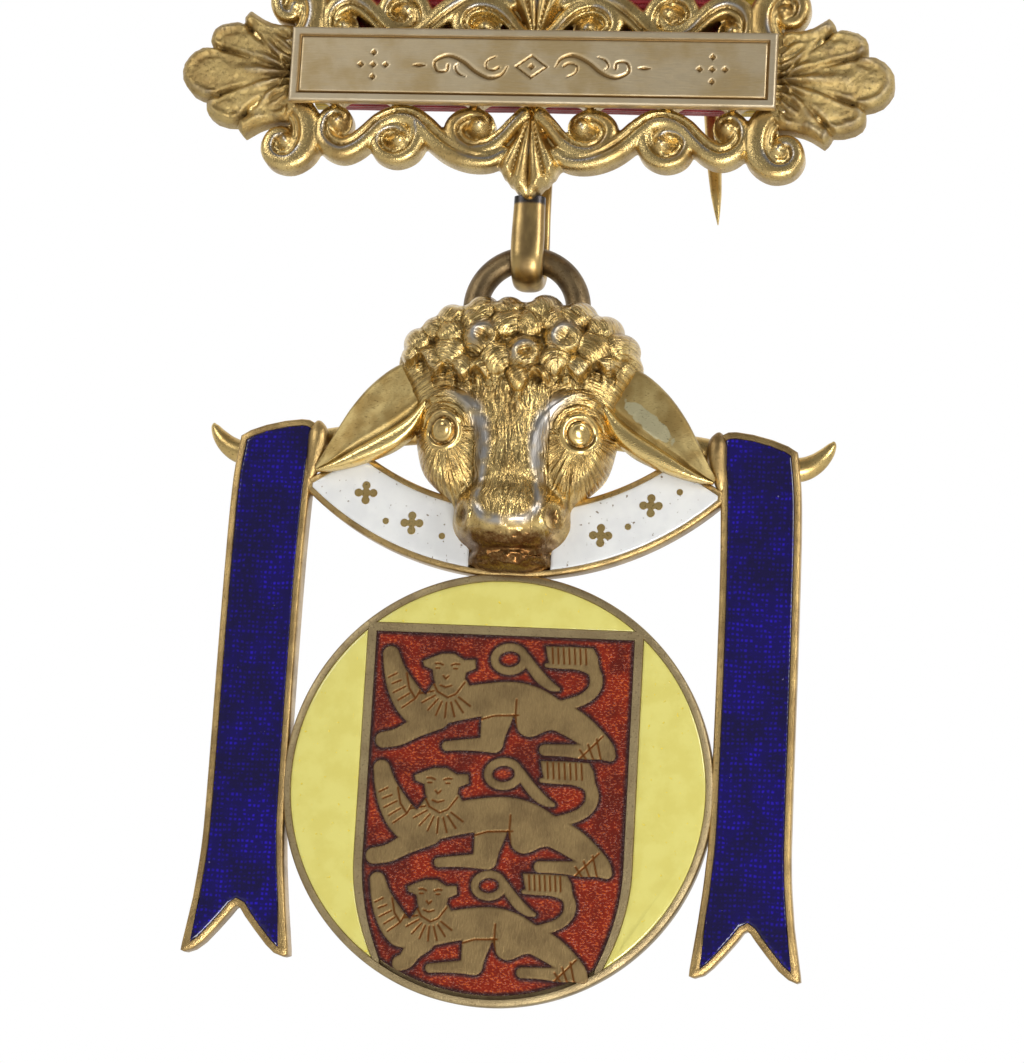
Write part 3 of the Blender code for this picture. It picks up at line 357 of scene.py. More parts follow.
FRAME_Z = -24.0
BASE_BACK = 0.9
RELIEF = 1.5
ROW_START = 2.85
ROW_DEPTH = 5.4
PLATE_HALF = 20.3
SEAT_HALF = 20.0
SCROLL_HALF = 1.0
SCROLL_STEP = 0.10              # of the grid that the rows are cast on
WEB = 0.25                      # how far the solder and the casting's webs fill the corners
KNOB = 0.95
EYE_FILL = 1.30                 # the solid metal round the middle of each scroll
PALMETTE_LENGTH = 7.7
PALMETTE_TALL = 1.62
SCROLL_LIGHT, SCROLL_DEEP = (0.69, 0.51, 0.215), (0.44, 0.29, 0.105)
# Each scroll: where its groove lies, in widths to one side of its middle, and its line from its free
# end, in thousandths of PLATE_HALF across, of ROW_DEPTH down, and of SCROLL_HALF for its half width
SCROLLS = {
    "end": (-0.25, [
        (1153, 70, 850), (1084, -50, 1100), (1015, -50, 1250), (956, 130, 1300),
        (933, 410, 1300), (946, 670, 1250), (995, 850, 1000), (1054, 830, 870),
        (1084, 670, 800), (1069, 480, 730), (1030, 440, 670), (1010, 560, 600),
    ]),
    "stem": (0.12, [
        (803, 240, 600), (788, 130, 600), (823, 80, 670), (855, 190, 750),
        (862, 390, 870), (837, 570, 1000), (783, 660, 1050), (729, 590, 1000),
        (680, 430, 930), (626, 220, 870), (562, 110, 870), (498, 130, 930),
        (443, 280, 1000), (394, 460, 1050), (325, 650, 1050), (246, 770, 930),
        (167, 780, 800), (108, 670, 600),
    ]),
    "middle": (-0.22, [
        (473, 240, 800), (468, 440, 800), (498, 670, 800), (557, 770, 750),
        (616, 690, 730), (638, 480, 670), (601, 320, 650), (547, 310, 600),
        (522, 440, 600), (542, 540, 600),
    ]),
    "inner": (0.22, [
        (212, 300, 600), (197, 170, 600), (236, 80, 670), (291, 150, 800),
        (320, 310, 870), (300, 520, 870), (246, 630, 870), (177, 590, 800),
        (123, 440, 730), (79, 240, 670), (34, 60, 670),
    ]),
}
KNOBS = [(16.4, 1.25), (20.6, 3.0), (10.95, 2.75), (4.35, 1.35)]   # across, and down from the row's start
# Half a palmette from its apex: degrees from its middle, and reach as a share of its length
PALMETTE_OUTLINE = [
    (0, 1.0), (2.6, 0.99), (5.2, 0.945), (7.6, 0.935), (11.0, 0.885), (13.5, 0.875), (17.5, 0.825),
    (20, 0.815), (24, 0.765), (27, 0.745), (30.5, 0.69), (29, 0.52), (27, 0.40), (40, 0.12),
]
PALMETTE_VEINS = (7.0, 21.0)    # degrees from its middle
TABS = (0.0, 4.8, 11.4, 16.7)   # where the scrolls hang from the strip, across


def curve(points, steps):
    """A smooth curve through the points, by the cubic that has each point's neighbours as its slope."""
    p = np.asarray(points, float)
    ends = np.vstack([2 * p[0] - p[1], p, 2 * p[-1] - p[-2]])
    a, b, c, d = (q[:, None, :] for q in (ends[:-3], ends[1:-2], ends[2:-1], ends[3:]))
    t = np.linspace(0, 1, steps, endpoint=False)[None, :, None]
    spans = 2 * b + (c - a) * t + (2 * a - 5 * b + 4 * c - d) * t ** 2 + (3 * b - a - 3 * c + d) * t ** 3
    return np.vstack([0.5 * spans.reshape(-1, p.shape[1]), p[-1:]])


def ramp(values, low, high):
    """Nought at low and one at high, straight between them and level beyond."""
    return np.clip((values - low) / (high - low), 0, 1)


def ring_at(away, middle, spread):
    """One at a distance from a middle, falling off smoothly on both sides of it."""
    return np.exp(-((away - middle) / spread) ** 2)


def spans_near(x, z, start, after, edge):
    """The spans between two lists of points, beside each place that is within edge of their box. Gives
    which places are, how far along each span is level with them, and how far off it they lie."""
    ends = np.vstack([start, after])
    near = np.all([(v > e.min() - edge) & (v < e.max() + edge) for v, e in zip((x, z), ends.T)], axis=0)
    px, pz = x[near][:, None] - start[:, 0], z[near][:, None] - start[:, 1]
    span = after - start
    size = np.maximum((span[:, :2] ** 2).sum(1), 1e-9)
    t = np.clip((px * span[:, 0] + pz * span[:, 1]) / size, 0, 1)
    return near, t, px - t * span[:, 0], pz - t * span[:, 1]


def stroke(x, z, line):
    """Where each place lies beside a line of points (x, z, half width): its distance outside the
    line's edge, its place across from -1 to 1, and its place along from 0 to 1, by the nearest span."""
    line = np.asarray(line, float)
    start, after = line[:-1], line[1:]
    away, across, along = np.full(x.shape, 1.5), np.full(x.shape, 3.0), np.zeros(x.shape)
    near, t, dx, dz = spans_near(x, z, start, after, line[:, 2].max() + 1.5)
    if not near.any():
        return away, across, along
    span = after - start
    half = start[:, 2] + t * span[:, 2]
    gap = np.hypot(dx, dz)
    best = np.argmin(gap - half, axis=1)[:, None]
    side = np.sign(span[:, 0] * dz - span[:, 1] * dx)
    places = t + np.arange(len(start))
    for values, found in ((away, gap - half), (across, side * gap / half), (along, places)):
        values[near] = np.take_along_axis(found, best, 1)[:, 0]
    return away, across, along / len(start)


def polygon(x, z, outline):
    """The distance outside a closed outline, negative inside it: the nearest edge gives the distance,
    and an odd count of edges crossed on the way out gives the inside."""
    start = np.asarray(outline, float)
    after = np.roll(start, -1, axis=0)
    away = np.full(x.shape, 1.5)
    near, _, dx, dz = spans_near(x, z, start, after, 1.5)
    px, pz = x[near][:, None], z[near][:, None]
    rise = after[:, 1] - start[:, 1]
    level = (start[:, 1] > pz) != (after[:, 1] > pz)
    reach = (pz - start[:, 1]) * (after[:, 0] - start[:, 0]) / np.where(rise == 0, 1e-12, rise)
    crossed = (level & (px < start[:, 0] + reach)).sum(1)
    away[near] = np.hypot(dx, dz).min(1) * np.where(crossed % 2 == 1, -1, 1)
    return away


def joined(first, second, reach):
    """The distance outside two shapes, with the corner between them filled in a curve."""
    return np.minimum(first, second) - np.clip(reach - np.abs(first - second), 0, None) ** 2 / (4 * reach)


def highest(first, second, reach):
    """The higher of two heights, with the crease between them filled in a curve."""
    return np.maximum(first, second) + np.clip(reach - np.abs(first - second), 0, None) ** 2 / (4 * reach)


def blurred(values, reach):
    """Each value's mean over a square of 2 reach + 1 points a side, taken twice."""
    for axis in (0, 1, 0, 1):
        wide = np.moveaxis(values, axis, 0)
        wide = np.concatenate([np.repeat(wide[:1], reach + 1, 0), wide, np.repeat(wide[-1:], reach, 0)])
        total = np.cumsum(wide, axis=0)
        values = np.moveaxis((total[2 * reach + 1:] - total[:-2 * reach - 1]) / (2 * reach + 1), 0, axis)
    return values


def fill_flat_back(made):
    """Closes a mesh whose only open edges lie on its flat back, holes and all, and drops loose points."""
    bm = bmesh.new()
    bm.from_mesh(made.data)
    bmesh.ops.delete(bm, geom=[v for v in bm.verts if not v.link_edges], context="VERTS")
    open_edges = [edge for edge in bm.edges if edge.is_boundary]
    bmesh.ops.triangle_fill(bm, edges=open_edges, use_beauty=True)
    bmesh.ops.recalc_face_normals(bm, faces=bm.faces[:])
    bm.to_mesh(made.data)
    bm.free()


def cast(name, low, high, pitch, shape, back, wear=0.55, marks=None):
    """A closed casting between two corners. shape(x, z) gives the distance outside its outline and its
    front's height.

    Crossings of a square grid that lie within half a step of the outline are moved onto it. Whole
    cells, and triangles of those that have lost one corner, make the front and the back, and a wall
    joins the two round every outline. back is a depth, or a function of x, z and the front's height.
    The marks "hollow" and "ridge" say how far the front lies below and above its surroundings, one
    being wear millimetres, and marks(x, z) gives the other ones by name.
    """
    sides = [np.arange(a, b + pitch, pitch) for a, b in zip(low, high)]
    x, z = np.meshgrid(*sides, indexing="ij")
    away, height = shape(x, z)
    slope = np.array(np.gradient(away, pitch))
    slope /= np.maximum((slope ** 2).sum(0), 0.3)
    kept, near = away < pitch / 2, np.abs(away) < pitch / 2
    for _ in range(2):
        x, z = x - near * away * slope[0], z - near * away * slope[1]
        away, height = shape(x, z)
    reach = max(1, round(0.45 / pitch))
    weight = np.maximum(blurred(kept.astype(float), reach), 1e-3)
    lift = height - blurred(np.where(kept, height, 0.0), reach) / weight
    number = np.cumsum(kept).reshape(kept.shape) - 1
    corners, held = ([v[:-1, :-1], v[1:, :-1], v[1:, 1:], v[:-1, 1:]] for v in (number, kept))
    whole = np.all(held, axis=0)
    quads = np.stack([c[whole] for c in corners], axis=-1)
    threes = []
    for lost in range(4):
        rest = [k for k in range(4) if k != lost]
        cut = ~held[lost] & np.all([held[k] for k in rest], axis=0)
        threes.append(np.stack([corners[k][cut] for k in rest], axis=-1))
    threes = np.vstack(threes)
    total = int(kept.sum())
    starts = np.concatenate([quads.reshape(-1), threes.reshape(-1)])
    ends = np.concatenate([np.roll(quads, -1, axis=1).reshape(-1), np.roll(threes, -1, axis=1).reshape(-1)])
    rim = ~np.isin(starts * total + ends, ends * total + starts)
    first, second = starts[rim], ends[rim]
    wall = np.stack([second, first, first + total, second + total], axis=-1)
    lift = np.where(lift < 0, lift * ramp(away, -0.1, -0.6), lift)
    x, z, height, lift = x[kept], z[kept], height[kept], lift[kept]
    depth = back(x, z, height) if callable(back) else np.full(x.shape, float(back))
    points = np.vstack([np.column_stack([x, -height, z]), np.column_stack([x, depth, z])])
    faces = quads.tolist() + threes.tolist() + wall.tolist()
    if callable(back):
        faces += (quads[:, ::-1] + total).tolist() + (threes[:, ::-1] + total).tolist()
    made = solid(name, points, faces)
    values = {"hollow": ramp(-lift, 0, wear), "ridge": ramp(lift, 0, wear)}
    values.update(marks(x, z) if marks else {})
    keep_marks(made, {key: np.concatenate([value, np.zeros(total)]) for key, value in values.items()})
    if not callable(back):
        fill_flat_back(made)
    return made


def fan(outline, length, apex, turn, up=True):
    """A closed outline from half a table of angles and reaches, about an apex."""
    half = np.array([(math.radians(a), r * length) for a, r in outline])
    whole = np.vstack([half[::-1] * (-1, 1), half[1:]])
    side, out = whole[:, 1] * np.sin(whole[:, 0]), whole[:, 1] * np.cos(whole[:, 0])
    return np.column_stack([apex[0] + side, apex[1] + turn * out] if up else
                           [apex[0] + turn * out, apex[1] + side])


def scroll_lines():
    """Each scroll's line in millimetres, and where its groove lies."""
    for groove, table in SCROLLS.values():
        yield groove, curve(np.array(table) / 1000 * (PLATE_HALF, ROW_DEPTH, SCROLL_HALF), 6)


def scroll_row(x, z, turn):
    """One row of scroll work, worked out in folded places: across from the middle, and down from the
    row's start. Each scroll is a roll with a groove beside its crest, and a knob sits in each eye."""
    across, down = np.abs(x), turn * (FRAME_Z - z) - ROW_START
    tabs = sum(ring_at(across, tab, 0.8) for tab in TABS)
    strip = np.maximum(down + 0.90 - 0.8 * tabs, -ROW_START - turn * 0.35 - down)
    seat = np.maximum(across - SEAT_HALF, strip)
    away, height = seat, np.full(x.shape, -BASE_BACK * 0.3)
    for groove, line in scroll_lines():
        gap, side, along = stroke(across, down, line)
        away = joined(away, gap, WEB)
        size = np.interp(along, np.linspace(0, 1, len(line)), line[:, 2] / SCROLL_HALF)
        crest = RELIEF * (0.42 + 0.50 * np.minimum(size, 1))
        roll = 0.40 + 0.60 * np.sqrt(np.clip(1 - np.abs(side) ** 2.8, 0, 1))
        cut = 0.30 * ring_at(side, groove * 2.0, 0.17) * ramp(along, 0, 1 / 6) * ramp(along, 1, 0.8)
        height = highest(height, np.where(gap < 0.05, crest * roll - cut, -0.3), 0.12)
    for knob_x, knob_down in KNOBS:
        far = np.hypot(across - knob_x, down - knob_down) / KNOB
        height = highest(height, 1.05 * RELIEF * np.exp(-0.8 * far ** 2), 0.16)
        away = joined(away, far * KNOB - EYE_FILL, WEB)
    height = np.maximum(height, 0.30 * RELIEF * (away < WEB))
    height = np.where(seat < 0, np.maximum(height, RELIEF * (down < -0.1)), height)
    apex = FRAME_Z - turn * (ROW_START - 0.3)
    leaf = polygon(x, z, fan(PALMETTE_OUTLINE, PALMETTE_LENGTH, (0, apex), -turn))
    reach = np.hypot(x, z - apex) / PALMETTE_LENGTH
    angle = np.degrees(np.arctan2(across, np.abs(z - apex) + 1e-6))
    spread = 1 - 0.30 * np.clip(1 - reach, 0, 1)
    folds = np.min([np.abs(angle - vein * spread) for vein in PALMETTE_VEINS], axis=0) / 6.6
    swell = 0.50 + 0.50 * np.sin(np.clip(reach * 1.05, 0.15, 1) * math.pi * 0.86)
    vein = 1 - np.clip(folds, 0, 1) ** 2 * (0.26 + 0.10 * ring_at(reach, 0.80, 0.16))
    leaf_top = PALMETTE_TALL * swell * vein * (0.35 + 0.65 * np.sqrt(ramp(leaf, 0, -0.55)))
    return joined(away, leaf, WEB), highest(height, leaf_top * (leaf < 0.05), 0.10)


def crests(x, z, turn):
    """One along the ridge beside each scroll's groove and down the palmette's middle, for the wear."""
    across, down = np.abs(x), turn * (FRAME_Z - z) - ROW_START
    bare = ring_at(across, 0, 0.12) * ramp(down, 2.5, 3.5)
    for groove, line in scroll_lines():
        gap, side, _ = stroke(across, down, line)
        bare = np.maximum(bare, ring_at(side, groove * 2.0 - math.copysign(0.30, groove), 0.13) * (gap < 0))
    return {"ridge": bare}


scroll_gilt = gilt("cast_gilt", SCROLL_LIGHT, SCROLL_DEEP, cast=True, rough=0.20, grain=0.03)
for turn, name in ((-1, "upper_scrolls"), (1, "lower_scrolls")):
    ends = sorted((FRAME_Z - turn * -0.6, FRAME_Z - turn * 11.0))
    row = cast(name, (-24.6, ends[0]), (24.6, ends[1]), SCROLL_STEP,
               lambda x, z: scroll_row(x, z, turn), BASE_BACK, wear=0.75,
               marks=lambda x, z: crests(x, z, turn))
    dress(row, "bar", "scroll_frame", scroll_gilt)


# Shells
# A scallop shell ends the casting on each side: five stippled lobes with bright rolled rims, parted by
# sharp furrows, and a fan of strong ribs where it springs from under the plate.

SHELL_ROOT = 20.6
SHELL_LENGTH = 9.4
SHELL_RELIEF = 1.6
# Half a shell from its middle: degrees, and reach as a share of its length
SHELL_OUTLINE = [
    (0, 0.990), (4, 0.985), (8, 0.955), (12, 0.915), (15.5, 0.85), (18.3, 0.78),
    (21, 0.805), (25, 0.825), (29, 0.825), (34, 0.795), (40, 0.735), (43.5, 0.69), (45.5, 0.665),
    (48, 0.68), (52, 0.695), (55.5, 0.70), (58, 0.635), (61, 0.575), (66, 0.52), (75, 0.47), (90, 0.45),
]
FURROWS = (18.3, 45.5)          # degrees from the middle
RIB_MEETING = 2.4               # how far behind the plate's end the ribs would meet
RIB_PITCH_DEGREES = 13
SHELL_STEP = 0.09
SHELL_LIGHT, SHELL_DEEP = (0.56, 0.41, 0.165), (0.37, 0.25, 0.095)


def drift(x, z, seed):
    """Smooth values from nought to one: chance values on whole numbers, blended between them."""
    chance = np.random.default_rng(seed).random((64, 64))
    i, j = np.floor(x).astype(int), np.floor(z).astype(int)
    a, b = x - i, z - j
    a, b = a * a * (3 - 2 * a), b * b * (3 - 2 * b)
    first = chance[i % 64, j % 64] * (1 - a) + chance[(i + 1) % 64, j % 64] * a
    second = chance[i % 64, (j + 1) % 64] * (1 - a) + chance[(i + 1) % 64, (j + 1) % 64] * a
    return first * (1 - b) + second * b


def shoulder(t):
    """A quarter circle's rise from nought to one."""
    return np.sqrt(t * (2 - t))


def shell(x, z):
    """A fan of lobes in folded places, out from the root and up from the middle line: each lobe is a low
    dome, furrows are narrow valleys along rays, and the rim turns over with the distance to the edge."""
    out, up = np.abs(x) - SHELL_ROOT, z - FRAME_Z
    outline = fan(SHELL_OUTLINE, SHELL_LENGTH, (0, 0), 1, up=False)
    away = polygon(out, up, np.vstack([outline, [(-1.2, 2.55), (-1.2, -2.55)]]))
    radius = np.hypot(np.maximum(out, 0.05), up)
    reach = radius / SHELL_LENGTH
    angle = np.degrees(np.arctan2(np.abs(up), np.maximum(out, 0.05)))
    rim = 0.50 + 0.50 * shoulder(ramp(away, 0, -0.75))
    lip = 0.20 * ring_at(away, -0.50, 0.24) - 0.10 * ring_at(away, -1.05, 0.22)
    furrow = np.zeros(x.shape)
    for ray in FURROWS:
        off = np.abs(np.radians(angle - ray) * radius)
        furrow += 0.42 * ring_at(off, 0, 0.17) - 0.13 * ring_at(off, 0.42, 0.2)
    furrow *= np.clip(reach * 3 - 0.7, 0, 1)
    lobe = np.cos(np.radians(np.interp(angle, (0, *FURROWS, 62), (0, 90, 270, 450)))) ** 2
    root = ramp(reach, 0.62, 0)
    spread = np.arctan2(np.abs(up), np.maximum(out, 0.05) + RIB_MEETING)
    ribs = np.cos(spread * 360 / RIB_PITCH_DEGREES) * 0.26 * root ** 0.7
    height = SHELL_RELIEF * (0.72 + 0.16 * lobe + 0.22 * ring_at(reach, 0.30, 0.22))
    hammered = 0.17 * (drift(x * 1.3, z * 1.3, 31) - 0.5) + 0.10 * (drift(x * 4, z * 4, 33) - 0.5)
    height = (height + ribs - 0.20 * root ** 3 + hammered) * rim + lip - furrow
    return away, np.where(out < 0, np.minimum(height, 1.4), height)


stippled_gilt = gilt("stippled_gilt", SHELL_LIGHT, SHELL_DEEP, cast=True, rough=0.36, grain=0.07)
for side, name in SIDES:
    near, far = sorted((side * 19.2, side * 30.2))
    piece = cast(f"{name}_shell", (near, FRAME_Z - 7.2), (far, FRAME_Z + 7.2), SHELL_STEP, shell,
                 BASE_BACK - 0.05, wear=1.0)
    dress(piece, "bar", "scroll_frame", stippled_gilt)


# Hook and rail
# A polished strap is soldered under the lower palmette's tip, runs down round the ring's wire and back
# up behind. The rail for the ribbon is a flat strip on two posts, soldered to the casting's back.

HOOK_HALF = 1.35
HOOK_THICK = 1.1
HINGE_Z = -38.6
RING_Y = 3.15
HOOK_MIDDLE = 2.0
HOOK_TOP, HOOK_REAR_TOP = -33.8, -28.5      # z of its front and back runs' upper ends
HOOK_CORNER = 1.1
HOOK_FOOT = -27.4
SOLDER_FROM, SOLDER_FULL = -34.60, -34.30   # z
RAIL_LOW, RAIL_HIGH = (-20.1, 2.5, -25.25), (20.1, 3.5, -23.45)
POST_NEAR, POST_FAR = 19.3, 20.9
POST_LOW, POST_HIGH = (0.6, -25.35), (3.6, -23.35)
STRAP_LIGHT, STRAP_DEEP = (0.52, 0.36, 0.14), (0.32, 0.215, 0.09)
SOLDER = (0.06, 0.055, 0.055)


def rounded(half_wide, half_tall, corner, steps=5):
    """A rectangle with rounded corners, as points about its middle."""
    turns = np.radians(np.linspace(0, 90, steps))
    points = []
    for quarter, (a, b) in enumerate(((1, 1), (-1, 1), (-1, -1), (1, -1))):
        turn = turns + quarter * math.pi / 2
        points.append(np.column_stack([a * (half_wide - corner) + corner * np.cos(turn),
                                       b * (half_tall - corner) + corner * np.sin(turn)]))
    across = np.linspace(half_wide - corner, corner - half_wide, 9)[1:-1]
    side = np.column_stack([across, np.full(7, half_tall)])
    return np.vstack([points[0], side, points[1], points[2], -side, points[3]])


def block(name, low, high, corner):
    """A bar from one corner to the other, with rounded long edges and a small bevel at both ends."""
    low, high = np.array(low), np.array(high)
    middle, half = (low + high) / 2, (high - low) / 2
    ends = np.array([0, 0.4, 1]) * corner
    places = np.concatenate([low[0] + ends, high[0] - ends[::-1]])
    shrink = np.concatenate([[0.90, 0.97, 1], [1, 0.97, 0.90]])
    path = np.column_stack([places, np.full(6, middle[1]), np.full(6, middle[2])])
    return swept(name, path, (0, -1, 0), rounded(1, half[1] / half[2], corner / half[2]),
                 half[2] * shrink, half[2] * shrink)


def arc(middle, radius, start, end, count):
    """Points (y, z) on a circle between two angles in radians."""
    turns = np.linspace(start, end, count)
    return np.column_stack([middle[0] + radius * np.cos(turns), middle[1] + radius * np.sin(turns)])


front_y, rear_y = RING_Y - HOOK_MIDDLE, RING_Y + HOOK_MIDDLE
front_run = [(front_y, z) for z in np.linspace(HOOK_TOP, HINGE_Z, 24)[:-1]]
rear_run = [(rear_y, z) for z in np.linspace(HINGE_Z, HOOK_REAR_TOP, 24)[1:]]
bend = arc((RING_Y, HINGE_Z), HOOK_MIDDLE, math.pi, 2 * math.pi, 41)
top_bend = arc((rear_y - HOOK_CORNER, HOOK_REAR_TOP), HOOK_CORNER, 0, math.pi / 2, 9)[1:]
hook_line = np.vstack([front_run, bend, rear_run, top_bend, [(2.0, HOOK_FOOT), (0.7, HOOK_FOOT)]])
hook_path = np.column_stack([np.zeros(len(hook_line)), hook_line])
# The strap's outer face is a little domed, and its inner one is flat
section = circle(48)
section = np.sign(section) * np.abs(section) ** np.where(section[:, :1] > 0, (1.0, 0.75), (0.3, 0.5))
section[:, 0] *= np.where(section[:, 0] > 0, 1.4, 1.0)
widened = 0.96 + 0.06 * ring_at(hook_path[:, 2], -37.5, 2.2)
hook = swept("hook", hook_path, (1, 0, 0), section * (HOOK_THICK / 2, 1), 1, HOOK_HALF * widened)
polished_gilt, place = new_finish("polished_gilt", {"Metallic": 1.0})
clouded = place.stretched(1.0, 1.0, 0.35).noise(0.9, 4.0).rise(0.36, 0.64)
solder = place.part(2).rise(SOLDER_FROM, SOLDER_FULL) * (1.0 - place.part(1).rise(2.0, 2.6))
rub = place.noise(4.0, 4.0)
wire_up(polished_gilt, {"Base Color": solder.mix(clouded.mix(STRAP_LIGHT, STRAP_DEEP), SOLDER),
                        "Roughness": 0.27 + rub * 0.16, "Normal": rub.bump(0.008)})
dress(hook, "bar", "scroll_frame", polished_gilt)
rail = block("lower_rail", RAIL_LOW, RAIL_HIGH, 0.2)
dress(rail, "bar", "scroll_frame", plain_gilt)
for side, name in SIDES:
    near, far = sorted((side * POST_NEAR, side * POST_FAR))
    post = block(f"{name}_post", (near, *POST_LOW), (far, *POST_HIGH), 0.2)
    dress(post, "bar", "scroll_frame", plain_gilt)


# Plate
# A strip of paler rolled metal, brushed lengthways, with a raised bright border, an engraved line inside
# it and small engraved ornament. Two rivets hold it from behind on the casting's flat strip.

PLATE_MIDDLE = -23.65
PLATE_TALL = 3.2
PLATE_FRONT, PLATE_BACK = 2.7, -1.8
PLATE_BORDER = 0.62
PLATE_STEP = 0.10
FIELD_SINK = 0.14
CROSS_PLACES = (-13.3, 15.0)
CROSS_STEP = 1.05
PLATE_LIGHT, PLATE_DEEP = (0.75, 0.62, 0.41), (0.47, 0.34, 0.16)
BORDER_GREY, CUT_GOLD = (0.62, 0.57, 0.47), (0.26, 0.16, 0.06)
# Half the engraving, right of the middle: lines of places across and up, and half width
ORNAMENT = [
    [(2.0, 0.0, 0.03), (2.5, 0.75, 0.10), (3.5, 1.0, 0.17), (4.7, 0.45, 0.19), (5.8, -0.4, 0.19),
     (7.0, -0.85, 0.15), (8.1, -0.35, 0.11), (7.9, 0.45, 0.09), (7.1, 0.45, 0.08), (7.0, -0.05, 0.10)],
    [(2.7, 0.1, 0.09), (3.2, 0.35, 0.08), (3.8, 0.1, 0.06), (3.7, -0.45, 0.05), (3.0, -0.85, 0.03)],
    [(5.5, 0.9, 0.03), (6.1, 0.65, 0.08), (6.4, 0.1, 0.06), (6.1, -0.2, 0.03)],
    [(8.9, 0.0, 0.02), (9.4, 0.0, 0.12), (9.9, 0.0, 0.02)],
]


def plate(x, z):
    """A flat strip, its border left high. The engraving is the depth of a V under each line, by the
    distance across it."""
    up = z - PLATE_MIDDLE
    away = np.maximum(np.abs(x) - PLATE_HALF, np.abs(up) - PLATE_TALL)
    inside = -away
    height = PLATE_FRONT - 0.22 * ramp(inside, 0.16, 0) ** 2
    height -= FIELD_SINK * ramp(inside, PLATE_BORDER, PLATE_BORDER + 0.1)
    height -= 0.14 * ring_at(inside, PLATE_BORDER + 0.14, 0.09)
    for line in ORNAMENT:
        gap, _, _ = stroke(np.abs(x), up * np.sign(x), curve(line, 6))
        height -= 0.16 * ramp(gap, 0.06, -0.06)
    lozenge = np.abs(np.abs(x) * 0.75 + np.abs(up) - 0.95) - 0.09
    height -= 0.15 * ramp(lozenge, 0.06, -0.06)
    dots = [(0.0, 0.0)] + [(middle + a * CROSS_STEP, b * CROSS_STEP) for middle in CROSS_PLACES
                           for a, b in ((0, 0), (1, 0), (-1, 0), (0, 1), (0, -1))]
    for dot_x, dot_z in dots:
        gap = np.abs(x - dot_x) + np.abs(up - dot_z) - 0.26
        height -= 0.18 * ramp(gap, 0.08, -0.08)
    return away, height


pale_gilt, place = new_finish("brushed_pale_gilt", {"Metallic": 1.0})
# Hair lines drawn out along the plate, cloudy tarnish, a greyer border, and old gilding in the cuts
lines = place.stretched(0.12, 1, 1).noise(7.0, 3.0)
clouded = place.noise(0.28, 4.0).rise(0.36, 0.66)
metal = (clouded * 0.65 + lines * 0.6 - 0.12).mix(PLATE_LIGHT, PLATE_DEEP)
metal = (place.mark("border") * 0.30).mix(metal, BORDER_GREY)
wire_up(pale_gilt, {"Base Color": place.mark("hollow").rise(0.08, 0.45).mix(metal, CUT_GOLD),
                    "Roughness": 0.32 + lines * 0.22 + clouded * 0.06, "Normal": lines.bump(0.012)})
piece = cast("plate", (-20.5, PLATE_MIDDLE - 3.4), (20.5, PLATE_MIDDLE + 3.4), PLATE_STEP, plate,
             PLATE_BACK, wear=0.20, marks=lambda x, z: {"border": plate(x, z)[0] > -PLATE_BORDER})
dress(piece, "bar", "number_plate", pale_gilt)


# Ring
# A ring of thick round wire, its joint soldered, with most of its gilding gone to brown.

RING_RADIUS = 4.33
RING_WIRE = 1.05
RING_Z = HINGE_Z - RING_RADIUS
RING_LIGHT, RING_DEEP = (0.27, 0.19, 0.095), (0.13, 0.09, 0.05)


def torus(name, centre, first, second, radius, wire, turns, sides):
    """A round wire bent into a circle: the wire's circle, carried round the ring's circle."""
    first, second = np.array(first, float), np.array(second, float)
    a = (2 * math.pi * np.arange(turns) / turns)[:, None, None]
    section = circle(sides) * wire
    out = first * np.cos(a) + second * np.sin(a)
    rings = np.array(centre) + out * (radius + section[:, :1]) + np.cross(first, second) * section[:, 1:]
    return skin(name, rings, round_again=True)


old_gilt = gilt("old_gilt", RING_LIGHT, RING_DEEP, rough=0.34, grain=0.03)
ring = torus("ring", (0, RING_Y, RING_Z), (1, 0, 0), (0, 0, 1), RING_RADIUS, RING_WIRE, 144, 36)
dress(ring, "ring", "jump_ring", old_gilt)


# Head
# The animal's head is a hollow casting with its hair in curls, chased by hand after casting. Rubbing
# has taken the gilding off its highest ridges. It is soldered over the scroll and the pennants' arms.

HEAD_BACK = 1.8
HEAD_HALF = 10.2
HEAD_TALL = 22.8
HEAD_TOP = -0.2                 # of the hair, below the ring's middle
HEAD_RIM = 0.8
HEAD_STEP = 0.095
# Half the outline: thousandths of HEAD_HALF across, and of HEAD_TALL down
HEAD_OUTLINE = [
    (0, 6), (250, 8), (510, 26), (730, 72), (880, 138), (985, 215), (990, 263), (920, 325), (850, 417),
    (815, 535), (745, 645), (600, 715), (485, 762), (480, 842), (400, 905), (335, 930), (330, 975),
    (150, 1000), (0, 1000),
]
# Rounded masses: across, down, half width, half height, and height over the back, in millimetres
HEAD_MASSES = [
    (0.0, 5.6, 11.0, 7.2, 4.4),       # hair
    (0.0, 9.8, 9.3, 8.9, 3.7),        # skull
    (0.0, 12.4, 3.7, 9.0, 4.7),       # bridge of the nose
    (0.0, 18.1, 5.0, 3.6, 5.3),       # muzzle
    (0.0, 21.5, 3.5, 1.9, 3.1),       # chin
    (5.4, 13.4, 3.3, 4.2, 3.5),       # cheeks
    (4.9, 10.0, 3.1, 2.8, 4.0),       # brows
]
# The ridge round each brow and down the nose: across, down and half width in millimetres
BROW_RIDGE = [
    (6.8, 8.9, 0.25), (5.8, 8.35, 0.40), (4.6, 8.5, 0.52), (3.3, 9.4, 0.60), (2.5, 10.8, 0.62),
    (2.2, 12.4, 0.58), (2.25, 14.0, 0.48), (2.5, 15.8, 0.40), (2.6, 17.3, 0.36), (1.8, 18.6, 0.36),
    (0.0, 19.0, 0.36),
]
EYE = (5.65, 11.5)
NOSTRIL, LIP_PIT = (3.75, 18.3), (3.5, 20.0)
MOUTH = 20.95
